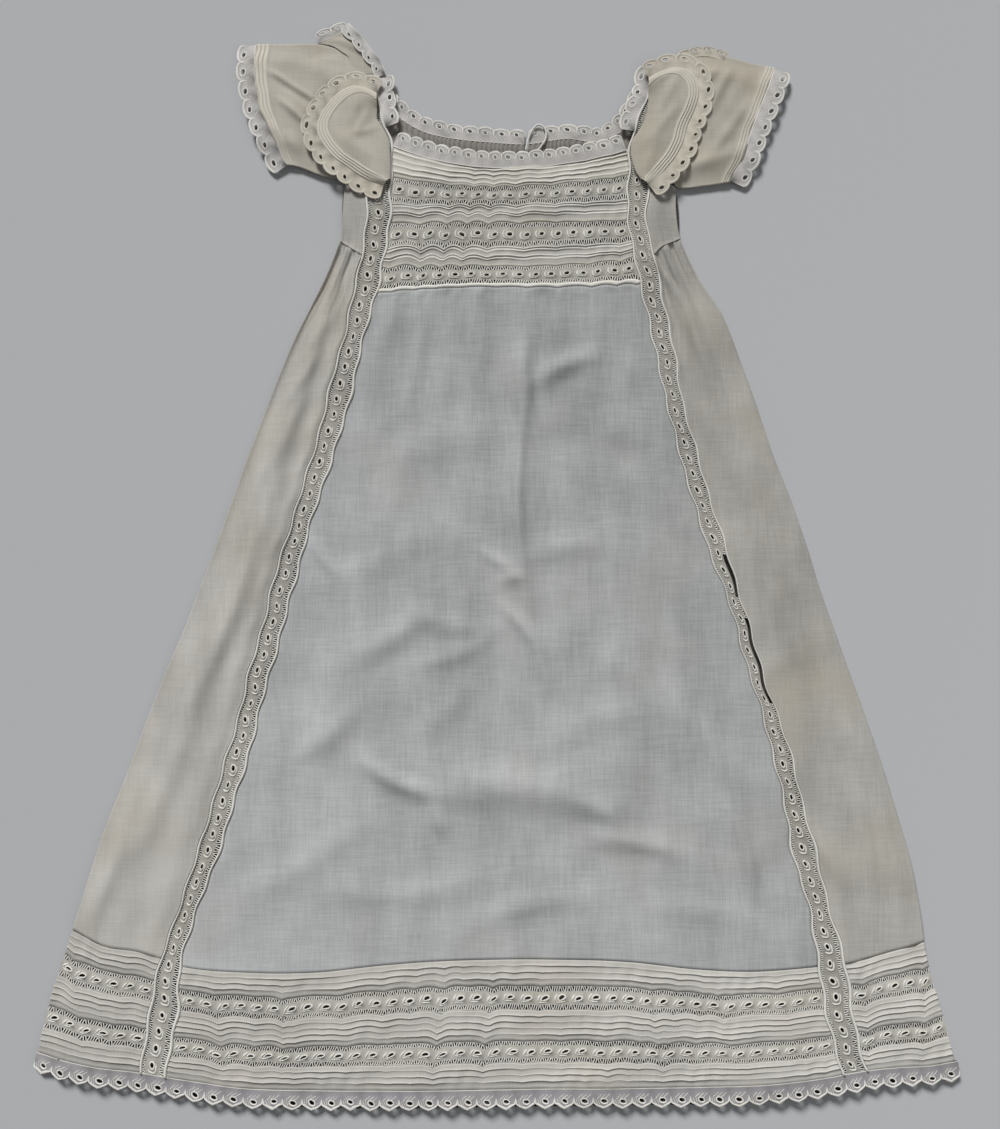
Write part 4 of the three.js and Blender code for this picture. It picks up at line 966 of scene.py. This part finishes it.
for side, rows in frillTables.items():
    at, rise, bright = tuckPlan("fine", frill["tucks"], 0.06)
    inner = list(np.linspace(0, 1, 22)[:-1])
    columnsAt = inner + [1 + t for t in at]
    bm, u, v = gridOf(len(columnsAt) - 1, 130, columnsAt)
    markRows(bm, len(columnsAt) - 1, {len(inner) + k for k in bright}, down=False)
    k = v * (len(rows) - 1)
    sewnX, sewnY, rimX, rimY = (line(k) for line in linesOf(rows))
    width = np.hypot(sewnX - rimX, sewnY - rimY)
    zone = np.minimum(frill["zone"], 0.6 * width)
    gone = np.where(u > 1, zone * (2 - u), zone + (width - zone) * (1 - u))  # distance from the rim
    share = 1 - gone / width
    x, y = between(sewnX, rimX, share), between(sewnY, rimY, share)
    fade = smoothStep((frill["ends"][side] - k) / 1.2)
    lift = np.where(u > 1, np.interp(u - 1, at, rise), 0) * frill["height"] * fade
    crown = np.sin(np.pi * share)
    swell = frill["swell"] + bumps(frillCreases[side], x, y) + rippleHeight(x, y)
    z = frill["level"] + swell * crown + lift
    if side == "left":
        bmesh.ops.reverse_faces(bm, faces=bm.faces)
    cloth = finishPiece("frill_" + side, bm, (x, y, z), ["sleeveCloth", "creamThread"], ["wing_" + side],
                        walls["thin"])
    rim = [(row[2], row[3], frill["level"]) for row in rows][::1 if side == "left" else -1]
    edging = edgingStrip("frillEdging_" + side, rim, 10.7, 12, ["wing_edging_" + side], 0.5, frill["seeds"][side],
                         finishes=("creamEdging", "creamThread"))
print("frills laid")

# Neck and shoulder edgings
neckEdgings = [edgingStrip("neckEdging_front", lineAcross(yoke[0], 88, -71, 0.2, 5.4), 11.3, 17,
                           ["neck_edging_front"], 0.5, 21, bodyLevel)]
for side, line, by, start, end, count, seed in (("left", robeLIn, 0.5, 284, 323, 3, 22),
                                                ("right", robeRIn, -0.5, 326, 281, 4, 23)):
    strap = [(float(line(y)) + by, y, 5) for y in np.linspace(start, end, 10)]
    neckEdgings.append(edgingStrip("strapEdging_" + side, strap, 10.5, count, ["strap_edging_" + side], 0.6, seed,
                                   lambda x, y: bodyLevel(x, y) + 0.9))
# The end of the left frill behind its shoulder: left and right edge and height, row by row
backEnd = [(-101.3, 321.5, -80, 321.2, 2.7), (-102.4, 334.5, -86, 338.4, 3.1), (-107.5, 339.5, -92.4, 347.6, 3.4),
           (-114.6, 344, -98, 353.8, 3.2), (-124.4, 346, -103, 356.4, 2.8)]
bm, u, v = gridOf(24, 60)
k = (1 - v) * 4
leftX, leftY, rightX, rightY, z = (line(k) for line in linesOf(backEnd))
z = z + 1.2 * u ** 2 + 0.5 * np.sin(9 * u + 1.5 * k) * np.sin(np.pi * u) * np.sin(np.pi * v)
frillBack = finishPiece("frillBack_left", bm, (between(leftX, rightX, u), between(leftY, rightY, u), z),
                        ["sleeveCloth"], ["wing_back_left"], walls["thin"])
turned = [(-103.5, 359.5, 4.6), (-95, 350, 5.2), (-87.2, 340, 5.4), (-80, 330, 5.2), (-77.6, 322, 4.9)]
farRight = [(158, 333.2, 2.7), (151, 336.2, 2.8), (142.5, 337.4, 2.9), (134, 336, 2.8), (127, 332.5, 2.7)]
backRims = [
    edgingStrip("frillBackEdging_left", [(-103.2, 356.0, 3.0), (-113.5, 351.5, 2.9), (-123.7, 347.0, 2.9)], 7.7, 2,
                ["wing_back_edging_left"], 0.3, 25),
    edgingStrip("frillBackEdging_turned", turned, 7.6, 4, [], 0.3, 26),
    edgingStrip("frillBackEdging_right", farRight, 6.8, 4, ["wing_back_edging_right"], 0.3, 27,
                finishes=("creamEdging", "creamThread")),
]
print("edgings laid")

# Drawstring: one loop of thin cord out of the back neck
cordPath = [(19.6, 268.5, 2.3), (21.2, 276, 2.6), (24, 283, 3.2), (28.5, 286.8, 3.6), (33.2, 283.6, 3.4),
            (33.4, 277, 3), (29.6, 271, 2.6), (26.6, 267, 2.3)]


def roundCord(bm, path, radius, sides):
    # a tube of round section along a path, still open at its ends
    heading = headings(path)
    made = bmesh.ops.create_grid(bm, x_segments=len(path) - 1, y_segments=sides, size=0.5)["verts"]
    for vert in made:
        i = int(round((vert.co.x + 0.5) * (len(path) - 1)))
        turn = 2 * math.pi * (vert.co.y + 0.5)
        side = Vector((-heading[i][1], heading[i][0], 0))
        vert.co = Vector(path[i]) + side * radius * math.cos(turn) + Vector((0, 0, radius * math.sin(turn)))
    bmesh.ops.remove_doubles(bm, verts=made, dist=1e-5)


def makeCord():
    t = np.linspace(0, len(cordPath) - 1, 36)
    path = np.stack([line(t) for line in linesOf(cordPath)], 1)
    bm = bmesh.new()
    roundCord(bm, path, 0.7, 8)
    bmesh.ops.holes_fill(bm, edges=bm.edges, sides=8)
    bmesh.ops.recalc_face_normals(bm, faces=bm.faces)
    points = np.array([v.co[:] for v in bm.verts]).T
    cord = finishPiece("drawstringCord", bm, points, ["thread"], ["drawstring"])


makeCord()
# Floor and light
studio = {"floor": (0.50, 0.51, 0.525), "sky": 0.13, "sun": 3.1, "sunFrom": (-0.45, 1.25, 1.0), "sunSize": 0.30,
          "fill": 5.0, "fillFrom": (1.3, -0.6, 1.6), "fillSize": 1.6}


def addLamp(name, kind, energy, place):
    lamp = bpy.data.lights.new(name, kind)
    lamp.energy = energy
    holder = bpy.data.objects.new(name, lamp)
    holder.location = place
    holder.rotation_euler = (-Vector(place)).to_track_quat("-Z", "Y").to_euler()
    bpy.context.scene.collection.objects.link(holder)
    return lamp


def makeStudio():
    bpy.ops.mesh.primitive_plane_add(size=6, location=(0, 0, -0.0005))
    floor = bpy.context.object
    floor.name = "floor"
    material = bpy.data.materials.new("floor")
    material.use_nodes = True
    shader = material.node_tree.nodes["Principled BSDF"]
    shader.inputs["Base Color"].default_value = (*studio["floor"], 1)
    shader.inputs["Roughness"].default_value = 0.9
    floor.data.materials.append(material)
    world = bpy.data.worlds.new("studio")
    world.use_nodes = True
    sky = world.node_tree.nodes["Background"].inputs
    sky["Color"].default_value = (1, 1, 1, 1)
    sky["Strength"].default_value = studio["sky"]
    bpy.context.scene.world = world
    addLamp("key", "SUN", studio["sun"], studio["sunFrom"]).angle = studio["sunSize"]
    addLamp("fill", "AREA", studio["fill"], studio["fillFrom"]).size = studio["fillSize"]
    bpy.context.scene.view_settings.view_transform = "Standard"


makeStudio()
print("studio lit")
